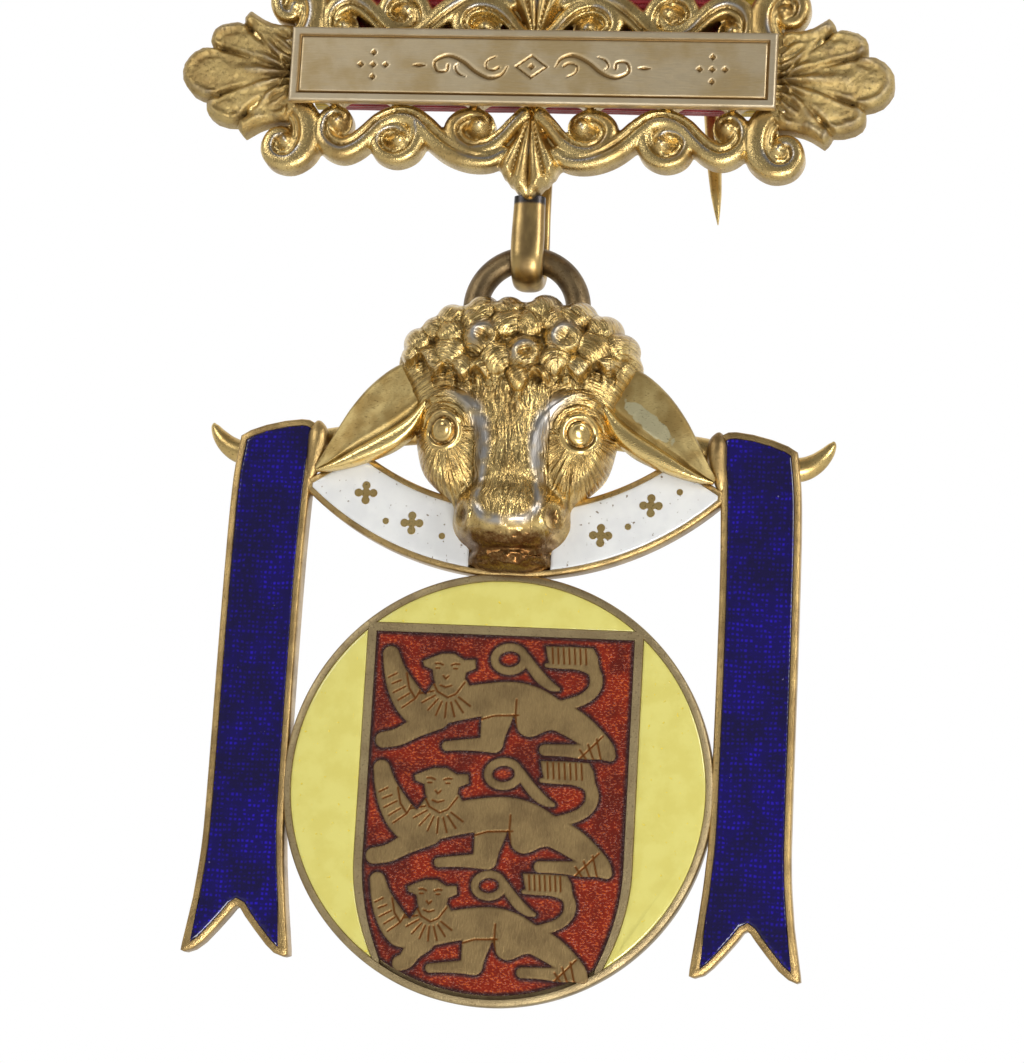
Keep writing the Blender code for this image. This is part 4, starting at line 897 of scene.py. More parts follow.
# Curls of the hair: across, down and radius in millimetres
CURLS = [
    (-3.2, 0.9, 1.6), (-1.0, 0.8, 1.4), (2.0, 0.7, 1.6), (4.8, 1.2, 1.6), (7.1, 2.3, 1.5),
    (8.5, 3.8, 1.5), (-5.8, 1.6, 1.5), (-7.2, 2.6, 1.3), (-8.5, 3.7, 1.5), (-8.9, 5.2, 1.3),
    (-7.2, 5.6, 1.4), (-5.5, 4.9, 1.5), (-5.6, 3.2, 1.4), (-4.3, 6.4, 1.3), (-2.9, 3.5, 1.8),
    (-3.5, 2.1, 1.4), (-0.8, 2.3, 1.5), (1.1, 2.4, 1.4), (0.9, 5.0, 1.7), (-1.5, 5.6, 1.5),
    (4.0, 3.6, 1.8), (3.4, 5.6, 1.4), (6.6, 4.2, 1.7), (5.3, 6.2, 1.4), (7.6, 5.9, 1.3),
    (2.9, 1.9, 1.3), (0.5, 7.2, 1.2), (-2.9, 6.6, 1.2), (-6.0, 6.7, 1.1), (2.1, 7.0, 1.1),
]
HOOKED_CURLS = [(-2.5, 3.7, 0.95), (1.0, 5.1, 0.95), (4.2, 3.6, 1.05)]


def dome(away):
    """A round top over places at a distance from nought to one from its middle."""
    return np.sqrt(np.clip(1 - away ** 2, 0, 1))


def mirrored(half):
    """A closed outline from its half, whose two ends lie on the middle line."""
    return np.vstack([half, (half * (-1, 1))[::-1][1:-1]])


def head_edge(x, down):
    """The distance outside the head, whose hair bulges with each curl."""
    half = curve(np.array(HEAD_OUTLINE) / 1000 * (HEAD_HALF, HEAD_TALL) + (0, HEAD_TOP), 5)
    away = polygon(x, down, mirrored(half))
    for a, b, r in CURLS:
        away = joined(away, np.hypot(x - a, down - b) - r * 0.92, 0.15)
    return away


def nearest_curl(x, down):
    """The curl that each place belongs to, and how far from its middle it is as a share of its radius.
    A curl's strands are arcs about a point outside it: the distance from that, and the way along."""
    gaps = np.array([np.hypot(x - a, down - b) / r for a, b, r in CURLS])
    a, b, r = np.array(CURLS).T[:, np.argmin(gaps, axis=0)]
    side, low = x - a - 1.3 * r * np.sin(a * 2.1 + b), down - b - r * (1.1 + 0.5 * np.cos(a + b))
    comb = np.hypot(side, low)
    return a, gaps.min(axis=0), comb, np.arctan2(side, low) * comb


def curls(x, down):
    """The hair: each place belongs to its nearest curl, a dome combed in arcs about a point beside it,
    and three larger curls hook round a hole."""
    _, gap, comb, _ = nearest_curl(x, down)
    strand = (drift(comb * 3.0 + 20, gap * 2, 21) - 0.5) * 0.26
    height = 1.10 * dome(np.minimum(gap, 0.98)) + strand * np.clip(1.3 - gap, 0.3, 1)
    for a, b, r in HOOKED_CURLS:
        away = np.hypot(x - a, down - b)
        open_side = np.clip(1.4 + ((x - a) * 0.5 - (down - b) * 0.9) / r, 0.25, 1)
        height += 0.40 * ring_at(away, r, 0.34) * open_side - 0.35 * ring_at(away, 0, 0.40)
    return height


def hairline(x):
    """How far down the hair comes: an arch, scalloped, with a lock in the middle."""
    return 7.5 - 0.022 * x ** 2 + 1.0 * ring_at(x, 0.4, 0.9) + 0.5 * np.sin(x * 2.6)


def features(x, down):
    """How far each place is from the eye beside it, and from that side's nostril in its own sizes."""
    across = np.abs(x)
    eye = np.hypot(across - EYE[0], down - EYE[1])
    return across, eye, np.hypot((across - NOSTRIL[0]) / 0.42, (down - NOSTRIL[1]) / 0.75)


def fur(x, down):
    """Places beside and along the strands, and how deep they are cut: down the nose, round the brows,
    out from under the eyes, and in arcs over each curl."""
    across, eye, _ = features(x, down)
    turn = np.arctan2(down - EYE[1], across - EYE[0])
    low, cheek = down > EYE[1] - 0.3, across > 3.1
    beside = np.where(cheek, np.where(low, turn * 3.4, eye), across + 0.5 * drift(x, down, 3))
    along = np.where(cheek, np.where(low, eye, turn * 3.0), down)
    a, _, comb, run = nearest_curl(x, down)
    hair = down < hairline(x)
    depth = ramp(eye, 1.55, 1.75) * np.maximum(ramp(down, 19, 18), 0.1)
    return np.where(hair, comb + 3 * a, beside), np.where(hair, run, along), np.where(hair, 0.72, depth)


def head(x, z):
    """The head's relief: rounded masses blended by a high power mean, ridges and rings along strokes,
    curls, and fur as values drawn out along the way that it grows."""
    down = RING_Z - z
    across, eye, nostril = features(x, down)
    away = head_edge(x, down)
    power = 5
    total = np.full(x.shape, HEAD_RIM ** power)
    for a, b, wide, tall, rise in HEAD_MASSES:
        total += (rise * dome(np.hypot((across - a) / wide, (down - b) / tall))) ** power
    height = total ** (1 / power)
    _, side, ridge = stroke(across, down, curve(BROW_RIDGE, 5))
    height += 0.50 * (1 - ridge) ** 0.7 * ring_at(side, 0, 0.95)
    # The eye: a socket, two rings, the ball and its pupil, and the fold of the upper lid
    height += 0.45 * ring_at(eye, 0, 1.9) + 0.11 * ring_at(eye, 1.40, 0.18) - 0.16 * ring_at(eye, 1.05, 0.14)
    height += 0.17 * dome(eye / 0.95) - 0.06 * ring_at(eye, 0.55, 0.12)
    lid = ramp(down, EYE[1] + 0.3, EYE[1] - 0.9)
    height += lid * (0.20 * ring_at(eye, 2.15, 0.2) - 0.20 * ring_at(eye, 1.82, 0.13))
    # The nostril, the corner of the lip, the mouth, and wrinkles on the muzzle and the chin
    lip = np.hypot((across - LIP_PIT[0]) / 0.5, (down - LIP_PIT[1]) / 0.4)
    height += 0.22 * ring_at(nostril, 1.6, 0.5) - 0.60 * ring_at(nostril, 0, 0.9) - 0.35 * ring_at(lip, 0, 1)
    bowed = down + across ** 2 * 0.03
    height -= 0.30 * ring_at(bowed, MOUTH, 0.22) * (across < 4.2)
    height += 0.16 * (drift(x * 2.4, down * 3.6, 43) - 0.5) * ramp(down, 18.4, 19.4)
    chin = 0.06 * np.sin(bowed * 8) + 0.55 * (drift(x * 1.3, down * 3.4, 41) - 0.5)
    height += chin * ramp(bowed, MOUTH + 0.25, MOUTH + 0.55)
    hair = ramp(hairline(x) - down, 0, 0.6)
    beside, along, _ = fur(x, down)
    coat = (drift(beside * 2.8 + 20, along * 0.30 + 20, 5) - 0.5) * (1 - 0.75 * ring_at(side, 0, 1.0))
    height += 0.24 * coat * ramp(eye, 1.6, 1.9) * (1 - hair) * ramp(down, 18.6, 17.4)
    height += hair * curls(x, down)
    fringe = ring_at(down, hairline(x) + 0.25, 0.55) * (across < 8.6)
    height += fringe * 0.65 * (drift(x * 3.6, down * 0.7, 11) - 0.35)
    height = HEAD_RIM * 0.5 + (height - HEAD_RIM * 0.5) * shoulder(ramp(away, 0, -1.1))
    return away, height - HEAD_BACK


def head_marks(x, z):
    """The fur's places and depth. Gilding is rubbed through along the brows' ridges, and a pale grey painted
    highlight lies on the upper left of the hooked curls. The chasing is darker below the nose's rubbed
    end, and painted shade darkens the nostrils and the ring round each eye."""
    down = RING_Z - z
    across, eye, nostril = features(x, down)
    beside, along, cut = fur(x, down)
    _, side, ridge = stroke(across, down, curve(BROW_RIDGE, 5))
    bare = ramp(np.abs(side), 1.5, 0.5) * ramp(ridge, 0.1, 0.3)
    # A pale grey painted highlight on the lit upper left of each hooked curl
    for a, b, r in HOOKED_CURLS:
        lit = np.clip(0.3 + ((a - x) + (b - down)) / r * 0.6, 0, 1)
        bare = np.maximum(bare, ring_at(np.hypot(x - a, down - b), r, 0.38) * lit)
    bare *= np.clip(1.3 * drift(x * 1.5, down * 1.5, 2) + 0.50 - 0.35 * ridge, 0, 1) * 0.9
    below = ramp(down + 0.5 * drift(x * 2, down * 2, 45), 19.5, 20.2) * ramp(across, 7.5, 2.5)
    # Darker below the nose, and painted shade in the nostrils and in the ring round each eye
    sooty = np.maximum(below, np.maximum(0.9 * ring_at(nostril, 0, 1.1), 0.7 * ring_at(eye, 1.08, 0.17)))
    return {"bare": bare, "sooty": sooty, "beside": beside, "along": along, "cut": cut}


def hollow_back(x, z, height):
    """The back of the casting: a flat rim, and inside it a hollow that follows the front."""
    inside = ramp(head_edge(x, RING_Z - z), -1.2, -2.8)
    return HEAD_BACK - inside * (2 - inside) * np.clip((height + HEAD_BACK) * 0.6, 0.3, 4.0)


head_gilt = gilt("chased_gilt", cast=True, rough=0.16, grain=0.020, chased=True)
piece = cast("head", (-10.9, RING_Z - 23.0), (10.9, RING_Z + 1.5), HEAD_STEP, head, hollow_back,
             wear=0.95, marks=head_marks)
dress(piece, "pendant", "pendant_frame", head_gilt)


# Ears
# Each ear is a drooping leaf, cast with the head: a flat matt face with a thick bright lower edge.

# From root to tip: the upper edge and the lower edge, across and down in millimetres
EAR_EDGES = [
    (7.4, 4.8, 7.4, 9.8), (9.0, 5.1, 8.3, 11.5), (10.8, 6.0, 9.6, 12.7), (12.5, 7.5, 11.2, 13.5),
    (13.9, 9.3, 12.8, 14.1), (15.0, 11.2, 14.2, 14.5), (15.9, 12.9, 15.4, 14.7), (16.6, 14.2, 16.4, 14.75),
]
EAR_BACK = 1.05
EAR_TALL = 1.35
ROLL_FROM = 0.70                # of the way down the ear
WORN_PATCH = (11.0, 9.9)        # on the right ear, across and down
PATCH_WAY = (0.77, 0.63)        # its long way, across and down
MATT_LIGHT, MATT_DEEP = (0.50, 0.38, 0.16), (0.34, 0.23, 0.08)
PATCH_GOLD, ROLL_GOLD = (0.51, 0.46, 0.28), (0.86, 0.64, 0.26)


def ear(side, name):
    """Rings across the leaf from its upper edge to its lower one: low at the top, a groove, and a thick
    roll at the bottom, with a flat back. They thin out towards the tip."""
    rows = curve(EAR_EDGES, 8)
    t = np.linspace(0, 1, 41)
    rise = 0.40 + 0.30 * np.sin(t * math.pi * 0.66) - 0.22 * ring_at(t, ROLL_FROM, 0.05)
    rise = rise + 0.50 * dome((t - 0.86) / 0.145)
    rise *= np.sqrt(np.clip(1 - np.clip(np.abs(t - 0.5) * 2 - 0.86, 0, 1) ** 2 / 0.0198, 0.05, 1))
    s = np.linspace(0, 1, len(rows))[:, None]
    fall = 1 - 0.55 * s ** 3
    wrinkle = 0.05 * drift(s * 14 + 0 * t, t * 9 + 0 * s, 17)
    front = np.zeros((len(rows), len(t), 3))
    front[..., 0] = side * (rows[:, :1] * (1 - t) + rows[:, 2:3] * t)
    front[..., 2] = RING_Z - (rows[:, 1:2] * (1 - t) + rows[:, 3:4] * t)
    front[..., 1] = EAR_BACK - (EAR_TALL * rise + wrinkle) * fall - 0.5 * (1 - s) ** 2
    back = front[:, -2:0:-1].copy()
    back[..., 1] = EAR_BACK
    made = skin(name, np.concatenate([front, back], axis=1))
    polish = np.concatenate([ramp(t, ROLL_FROM, ROLL_FROM + 0.05), np.zeros(len(t) - 2)])
    keep_marks(made, {"polish": np.tile(polish, len(rows))})
    return made


ear_gilt, place = new_finish("matt_and_polished_gilt", {"Metallic": 1.0})
polished = place.mark("polish")
matt = place.noise(0.5, 4.0).rise(0.35, 0.65).mix(MATT_LIGHT, MATT_DEEP)
scratch = place.stretched(1.0, 1.0, 2.5).noise(4.0, 4.0)
off, below = place.part(0) - WORN_PATCH[0], RING_Z - WORN_PATCH[1] - place.part(2)
lengthways = off * PATCH_WAY[0] + below * PATCH_WAY[1]
sideways = below * PATCH_WAY[0] - off * PATCH_WAY[1]
oval = lengthways * lengthways * 0.14 + sideways * sideways * 1.7
pale = (oval + place.noise(1.4, 3.0) * 1.6).rise(1.78, 1.56)
matt = (pale * (1.0 - polished)).mix(matt, PATCH_GOLD)
gold = (scratch.rise(0.58, 0.72) * 0.5).mix(polished.mix(matt, ROLL_GOLD), GILT_GRIME_AND_SHADE)
wire_up(ear_gilt, {"Base Color": gold, "Roughness": 0.42 + scratch * 0.12 - polished * 0.26,
                   "Normal": scratch.bump(0.025)})
for side, name in SIDES:
    dress(ear(side, f"{name}_ear"), "pendant", "pendant_frame", ear_gilt)


# Horns
# Each horn is a tapering rod that runs out from behind the ear, carries the pennant's top, and curls up
# to a blunt point outside it.

# Across, depth, down and radius in millimetres
HORN_LINE = [
    (7.75, 1.8, 11.0, 0.94), (11.2, 1.9, 11.25, 1.05), (15.2, 3.3, 11.46, 1.05), (19.4, 3.35, 12.3, 1.05),
    (21.7, 3.35, 12.9, 1.05), (23.4, 3.35, 12.8, 1.00), (24.5, 3.35, 12.3, 0.86), (25.35, 3.35, 11.5, 0.64),
    (25.85, 3.35, 10.75, 0.36), (25.98, 3.35, 10.40, 0.10),
]


def rod(name, line, side, sides):
    """A round rod along a line of places across, in depth and down, with a radius at each of them."""
    path = np.column_stack([side * line[:, 0], line[:, 1], RING_Z - line[:, 2]])
    return swept(name, path, (0, -1, 0), circle(sides), line[:, 3], line[:, 3])


for side, name in SIDES:
    dress(rod(f"{name}_horn", curve(HORN_LINE, 9), side, 28), "pendant", "pendant_frame", plain_gilt)


# Scroll of white enamel
# A curved scroll passes behind the muzzle: a gilt tray with raised rims, filled with opaque white
# enamel on each side, in which small gilt ornaments are left standing flush.

TRAY_FRONT, TRAY_BACK, TRAY_FLOOR = 1.2, 3.2, 2.0
TRAY_RIM = 0.50
SWAG_BELOW = 22.9               # its lowest place, down from the ring's middle
SWAG_RADIUS, SWAG_INNER_RADIUS = 25.5, 21.4
SWAG_TALL, SWAG_END = 5.9, 17.3
MUZZLE_HALF = 2.9               # where the white enamel ends behind the muzzle
ORNAMENT_STEP = 0.07
TRAY_LIGHT, TRAY_DEEP = (0.56, 0.385, 0.155), (0.31, 0.205, 0.085)
WHITE, WHITE_CLOUD, WHITE_DIRT = (0.70, 0.70, 0.68), (0.65, 0.65, 0.64), (0.20, 0.15, 0.10)
# Ornaments and dots left standing in the white, across and down in millimetres
QUATREFOILS = [(-12.25, 16.3), (-8.26, 18.7), (7.4, 19.2), (11.4, 16.6)]
DOTS = [(-10.45, 18.6), (-5.7, 19.7), (9.6, 18.4), (13.7, 15.4)]


def inset(outline, distance):
    """A closed outline moved inwards by distance: each point goes along the middle of its two edges'
    inward directions, and further at a sharper corner. One that comes too near another edge takes the
    place of the nearest along the outline that doesn't."""
    points = np.asarray(outline, float)
    before, after = points - np.roll(points, 1, axis=0), np.roll(points, -1, axis=0) - points
    area = np.sum(points[:, 0] * np.roll(points[:, 1], -1) - np.roll(points[:, 0], -1) * points[:, 1])

    def inward(edge):
        edge = edge / np.linalg.norm(edge, axis=1)[:, None]
        return np.column_stack([-edge[:, 1], edge[:, 0]]) * math.copysign(1, area)

    middle = inward(before) + inward(after)
    scale = 2 / np.maximum(np.sum(middle * middle, axis=1), 0.15)
    moved = points + middle * scale[:, None] * distance
    clear = np.flatnonzero(polygon(moved[:, 0], moved[:, 1], points) < -0.96 * distance + 1e-6)
    steps = np.abs(np.arange(len(points))[:, None] - clear[None])
    return moved[clear[np.argmin(np.minimum(steps, len(points) - steps), axis=1)]]


def stacked(name, outline, levels):
    """A closed piece from one outline (x, z): a ring for each level, moved inwards by its first number
    and set at the depth of its second."""
    rings = []
    for shrink, depth in levels:
        ring = inset(outline, shrink)
        rings.append(np.column_stack([ring[:, 0], np.full(len(ring), depth), ring[:, 1]]))
    return skin(name, rings)


def tray_levels(rim, sunk=0.0):
    """A tray from its back: side, bevelled outer edge, rim, and the inside down to its floor. It is
    sunk by so much at both its front and its back."""
    front, rear = TRAY_FRONT + sunk, TRAY_BACK - sunk
    return [(0.12, rear), (0, rear - 0.12), (0, front + 0.26), (0.05, front + 0.09),
            (0.16, front), (rim - 0.05, front), (rim, front + 0.06), (rim, TRAY_FLOOR)]


def enamel_levels(rim):
    """A slab of enamel that fills its cell to the rim and sinks a little beside it as it cools."""
    return [(rim, TRAY_FLOOR), (rim, TRAY_FRONT + 0.10), (rim + 0.06, TRAY_FRONT + 0.05),
            (rim + 0.2, TRAY_FRONT + 0.02), (rim + 0.5, TRAY_FRONT + 0.01)]


def swag_outline(inner_end):
    """The scroll from inner_end out to the pennant, between two arcs of a circle."""
    outer_middle, inner_middle = SWAG_BELOW - SWAG_RADIUS, SWAG_BELOW - SWAG_TALL - SWAG_INNER_RADIUS
    lower = np.linspace(inner_end, SWAG_END, 60)
    upper = np.linspace(SWAG_END * 0.75, inner_end, 48)
    low = np.column_stack([lower, outer_middle + np.sqrt(SWAG_RADIUS ** 2 - lower ** 2)])
    high = np.column_stack([upper, inner_middle + np.sqrt(SWAG_INNER_RADIUS ** 2 - upper ** 2)])
    points = np.vstack([low, [(SWAG_END, low[-1, 1] - SWAG_TALL * 0.14)], high])
    return points * (1, -1) + (0, RING_Z)


def enamel(name, base, tint, speck):
    """Fired glass: a hard gloss, faint waves, cloudy colour, and a few pits and specks of dirt."""
    made, place = new_finish(name, {"Specular IOR Level": 0.5, "Coat Weight": 0.3, "Coat Roughness": 0.06})
    clouded = place.noise(0.6, 4.0).rise(0.35, 0.65)
    grit = place.noise(2.6, 5.0).rise(0.66, 0.71)
    wave = place.noise(0.5, 2.0) + grit * -0.4
    return wire_up(made, {"Base Color": grit.mix(clouded.mix(base, tint), speck),
                          "Roughness": 0.16 + grit * 0.4, "Normal": wave.bump(0.05)})


tray_gilt = gilt("filed_gilt", TRAY_LIGHT, TRAY_DEEP, rough=0.26, grain=0.035)
piece = stacked("scroll_tray", mirrored(swag_outline(0.0)), tray_levels(TRAY_RIM, 0.03))
dress(piece, "pendant", "pendant_frame", tray_gilt)
white = enamel("opaque_white", WHITE, WHITE_CLOUD, WHITE_DIRT)
for side, name in SIDES:
    outline = swag_outline(MUZZLE_HALF) * (side, 1)
    piece = stacked(f"white_enamel_{name}_fill", outline, enamel_levels(TRAY_RIM))
    dress(piece, "pendant", f"white_enamel_{name}", white)


def ornaments(x, z):
    """The distance outside the nearest ornament: a lozenge with a round leaf on each side, or a dot."""
    down = RING_Z - z
    away = np.full(x.shape, 1.5)
    for a, b in QUATREFOILS:
        near, far = np.sort([np.abs(x - a), np.abs(down - b)], axis=0)
        away = np.minimum(away, np.minimum(np.hypot(far - 0.62, near) - 0.34, (far + near - 0.52) * 0.7))
    for a, b in DOTS:
        away = np.minimum(away, np.hypot(x - a, down - b) - 0.27)
    return away, np.full(x.shape, -TRAY_FRONT + 0.02)


piece = cast("scroll_ornaments", (-14.5, RING_Z - 20.5), (14.5, RING_Z - 14.6), ORNAMENT_STEP,
             ornaments, TRAY_FLOOR, wear=0.10)
dress(piece, "pendant", "pendant_frame", plain_gilt)


# Pennants
# Two hanging pennants, each a gilt tray with a notched end, filled with deep blue enamel over metal
# that was engraved in wavy rows, so that points of light show through.

PENNANT_INNER, PENNANT_WIDE, PENNANT_LONG, PENNANT_BELOW = 17.3, 6.5, 44.4, 10.2
PENNANT_RIM = 0.58
# Down as a share of its length, and its inner and outer edges as shares of its width
PENNANT_SIDES = [
    (0.035, -0.09, 0.90), (0.13, -0.04, 0.97), (0.33, 0.00, 1.00), (0.70, 0.01, 1.02),
    (0.81, -0.02, 1.04), (0.90, -0.08, 1.10),
]
# The arched top and the notched end: down, and across from the inner edge, in the same shares
PENNANT_TOP = [(0.010, -0.10), (0.001, 0.02), (0.000, 0.12), (0.004, 0.33), (0.013, 0.58), (0.024, 0.78)]
PENNANT_TIPS = [
    (0.985, -0.155), (0.997, -0.16), (1.000, -0.10), (0.994, 0.02), (0.980, 0.13), (0.955, 0.28),
    (0.930, 0.42), (0.915, 0.49), (0.912, 0.53), (0.916, 0.57), (0.930, 0.64), (0.955, 0.78),
    (0.980, 0.93), (0.994, 1.05), (1.000, 1.16), (0.997, 1.21), (0.985, 1.20),
]
ROW_PITCH, COLUMN_PITCH = 0.42, 0.38     # of the wavy rows of points under the blue
BLUE_DEEP, BLUE_CLOUD = (0.005, 0.0025, 0.04), (0.005, 0.0015, 0.08)
BLUE_POINT, BLUE_DIRT = (0.016, 0.005, 0.40), (0.10, 0.09, 0.20)
CLEAR_GLASS = {"Specular IOR Level": 0.45, "Coat Weight": 0.12, "Coat Roughness": 0.05}
# The rolled edge at the pennant's inner corner: across, depth, down and radius in millimetres
FOLD_LINE = [
    (16.95, 1.55, 10.45, 0.12), (16.75, 1.50, 10.65, 0.50), (16.60, 1.45, 11.3, 0.80),
    (16.62, 1.45, 12.3, 0.84), (16.78, 1.50, 13.5, 0.70), (17.00, 1.55, 14.6, 0.50),
    (17.20, 1.65, 15.4, 0.24), (17.25, 1.75, 15.8, 0.10),
]


def pennant_outline(side):
    """The pennant's edges: two smooth sides from the table, an arched top and a notched end."""
    sides = curve(PENNANT_SIDES, 8)
    down, across = np.vstack([PENNANT_TOP, sides[:, [0, 2]], PENNANT_TIPS[::-1], sides[::-1, :2]]).T
    return np.column_stack([side * (PENNANT_INNER + across * PENNANT_WIDE),
                            RING_Z - PENNANT_BELOW - down * PENNANT_LONG])


blue, place = new_finish("deep_blue_enamel", CLEAR_GLASS)
row = ((place.part(2) + place.noise(0.5, 2.0) * 0.5) * (2 * math.pi / ROW_PITCH)).wave()
column = ((place.part(0) + place.noise(0.9, 2.0) * 0.35) * (2 * math.pi / COLUMN_PITCH)).wave()
grit = place.noise(1.6, 3.0).rise(0.42, 0.62)
glow = place.noise(0.35, 3.0).rise(0.36, 0.66)
depth = row.rise(-0.8, 1.0) * column.rise(-1.1, 0.9) * grit * (0.35 + glow * 0.65)
speck = place.noise(2.2, 4.0).rise(0.75, 0.78)
blues = depth.mix(glow.mix(BLUE_DEEP, BLUE_CLOUD), BLUE_POINT)
wire_up(blue, {"Base Color": speck.mix(blues, BLUE_DIRT), "Roughness": 0.14 + speck * 0.3,
               "Normal": (place.noise(0.6, 2.0) + row * 0.05).bump(0.05)})
for side, name in SIDES:
    outline = pennant_outline(side)
    tray = stacked(f"{name}_pennant", outline, tray_levels(PENNANT_RIM))
    dress(tray, "pendant", "pendant_frame", tray_gilt)
    fill = stacked(f"{name}_pennant_fill", outline, enamel_levels(PENNANT_RIM))
    dress(fill, "pendant", f"blue_enamel_{name}", blue)
    fold = rod(f"{name}_pennant_fold", curve(FOLD_LINE, 7), side, 24)
    dress(fold, "pendant", "pendant_frame", tray_gilt)


# Disc and shield
# The disc is a plate with a rim and the shield's border left standing, filled with yellow enamel round
# the shield and clear red enamel inside it.

DISC_RADIUS, DISC_RIM = 17.6, 0.65
DISC_BELOW = 40.2
SHIELD_HALF, SHIELD_RISE, SHIELD_WALL = 11.35, 13.2, 0.75
DISC_Z = RING_Z - DISC_BELOW
DISC_LIGHT, DISC_DEEP = (0.44, 0.34, 0.18), (0.31, 0.23, 0.12)
YELLOW, YELLOW_CLOUD, YELLOW_SPECK = (0.64, 0.58, 0.165), (0.60, 0.53, 0.135), (0.70, 0.55, 0.04)


def shield_half(up, half):
    """Half the shield's width at a height over the disc's middle: straight, then drawn in."""
    return half * (1 - 0.18 * ramp(up / DISC_RADIUS, -0.34, -0.81) ** 2)


def shield_side(half, radius, top, count=60):
    """Points down the shield's right side, from its top or from where the circle cuts it."""
    up = np.linspace(top, -DISC_RADIUS, 4000)
    across = shield_half(up, half)
    held = np.hypot(up, across) <= radius
    chosen = np.linspace(up[held][0], up[held][-1], count)
    return np.column_stack([shield_half(chosen, half), chosen])


def between(radius, start, end, count):
    """Points on a circle about the disc's middle between two angles in radians."""
    turns = np.linspace(start, end, count)
    return np.column_stack([radius * np.cos(turns), radius * np.sin(turns)])


def red_outline():
    """The red field: down the shield's right side, along its bottom beside the rim, and up its left."""
    radius = DISC_RADIUS - DISC_RIM - 0.3
    side = shield_side(SHIELD_HALF - SHIELD_WALL, radius, SHIELD_RISE - SHIELD_WALL)
    last = math.atan2(side[-1, 1], side[-1, 0])
    bottom = between(radius, last, -math.pi - last, 60)[1:-1]
    return np.vstack([side, bottom, (side * (-1, 1))[::-1]]) + (0, DISC_Z)


def yellow_outline(name):
    """One of the three places between the rim and the shield."""
    radius = DISC_RADIUS - DISC_RIM
    if name == "top":
        reach = math.acos(SHIELD_RISE / radius)
        return between(radius, math.pi / 2 - reach, math.pi / 2 + reach, 60) + (0, DISC_Z)
    side = shield_side(SHIELD_HALF, radius, DISC_RADIUS)
    first, last = math.atan2(side[0, 1], side[0, 0]), math.atan2(side[-1, 1], side[-1, 0])
    points = np.vstack([between(radius, last, first, 60)[:-1], side[:-1]])
    return points * (-1 if name == "left" else 1, 1) + (0, DISC_Z)


disc_turns = between(DISC_RADIUS, 0, 2 * math.pi, 241)[:-1] + (0, DISC_Z)
piece = stacked("disc", disc_turns, tray_levels(DISC_RIM))
disc_gilt = gilt("rubbed_gilt", DISC_LIGHT, DISC_DEEP, rough=0.34, grain=0.03)
dress(piece, "pendant", "pendant_frame", disc_gilt)
reach = DISC_RADIUS - DISC_RIM + 0.05
outer_side = shield_side(SHIELD_HALF, reach, SHIELD_RISE)
outer_side = np.vstack([[(outer_side[0, 0], SHIELD_RISE)], outer_side[1:]])
inner_side = shield_side(SHIELD_HALF - SHIELD_WALL, reach, SHIELD_RISE - SHIELD_WALL)
wall = np.vstack([outer_side[::-1], outer_side * (-1, 1), (inner_side * (-1, 1))[::-1], inner_side])
wall_levels = [(0, TRAY_FLOOR), (0, TRAY_FRONT + 0.05), (0.05, TRAY_FRONT - 0.01)]
piece = stacked("shield_border", wall + (0, DISC_Z), wall_levels)
dress(piece, "pendant", "pendant_frame", disc_gilt)
yellow = enamel("opaque_yellow", YELLOW, YELLOW_CLOUD, YELLOW_SPECK)
for name in ("top", "left", "right"):
    piece = stacked(f"yellow_fill_{name}", yellow_outline(name), enamel_levels(0.02))
    dress(piece, "pendant", f"yellow_enamel_{name}", yellow)


# Lions
# Three lions walk across the shield, cut out of the plate itself and left flush with the enamel. Their
# faces, manes and paws are engraved, and the lines have filled with the red enamel.

# One lion's limbs: thousandths of its length along, and of its height up and for the half width
LION_LIMBS = {
    "raised_paw": [(43, 863, 73), (63, 718, 95), (98, 564, 125), (153, 412, 141), (221, 365, 125)],
    "body": [(155, 367, 109), (252, 381, 125), (352, 451, 141), (464, 501, 141), (566, 520, 141),
             (649, 470, 154), (723, 405, 136), (797, 343, 109)],
    "thigh": [(627, 342, 109), (639, 287, 104), (694, 351, 113), (765, 361, 102)],
    "hind_leg": [(755, 382, 132), (829, 302, 125), (893, 209, 109), (947, 109, 91), (977, 50, 50)],
    "hind_foot": [(707, 76, 50), (794, 79, 54), (876, 77, 68), (937, 101, 86)],
    "middle_leg": [(503, 370, 141), (492, 244, 118), (486, 141, 104)],
    "middle_foot": [(299, 74, 43), (363, 89, 48), (434, 99, 59), (496, 108, 77)],
    "low_paw": [(253, 324, 109), (164, 221, 86), (94, 136, 77), (32, 105, 70)],
    "tail": [(763, 463, 50), (848, 527, 50), (894, 611, 54), (904, 710, 57), (884, 794, 52), (824, 824, 36),
             (752, 821, 29), (696, 818, 20)],
    "knot": [(604, 868, 36), (597, 815, 36), (575, 774, 36), (544, 755, 36), (512, 765, 36), (487, 800, 36),
             (478, 851, 36), (485, 904, 36), (507, 945, 36), (538, 964, 36), (570, 954, 36), (594, 919, 36),
             (604, 868, 36)],
    "strand": [(607, 873, 45), (641, 783, 48), (676, 701, 50), (717, 636, 39), (748, 613, 20)],
}
LION_AREAS = {
    "head": [(178, 814), (218, 853), (258, 886), (309, 889), (352, 838), (398, 844), (403, 765), (363, 726),
             (357, 634), (324, 538), (289, 506), (252, 551), (229, 650), (221, 740), (184, 769)],
    "mane": [(227, 616), (197, 509), (177, 404), (204, 324), (254, 292), (313, 305), (357, 361), (391, 450),
             (394, 560), (367, 658), (324, 732)],
    "tuft": [(688, 985), (787, 990), (885, 985), (905, 914), (918, 768), (877, 772), (850, 810), (708, 815),
             (696, 899)],
}
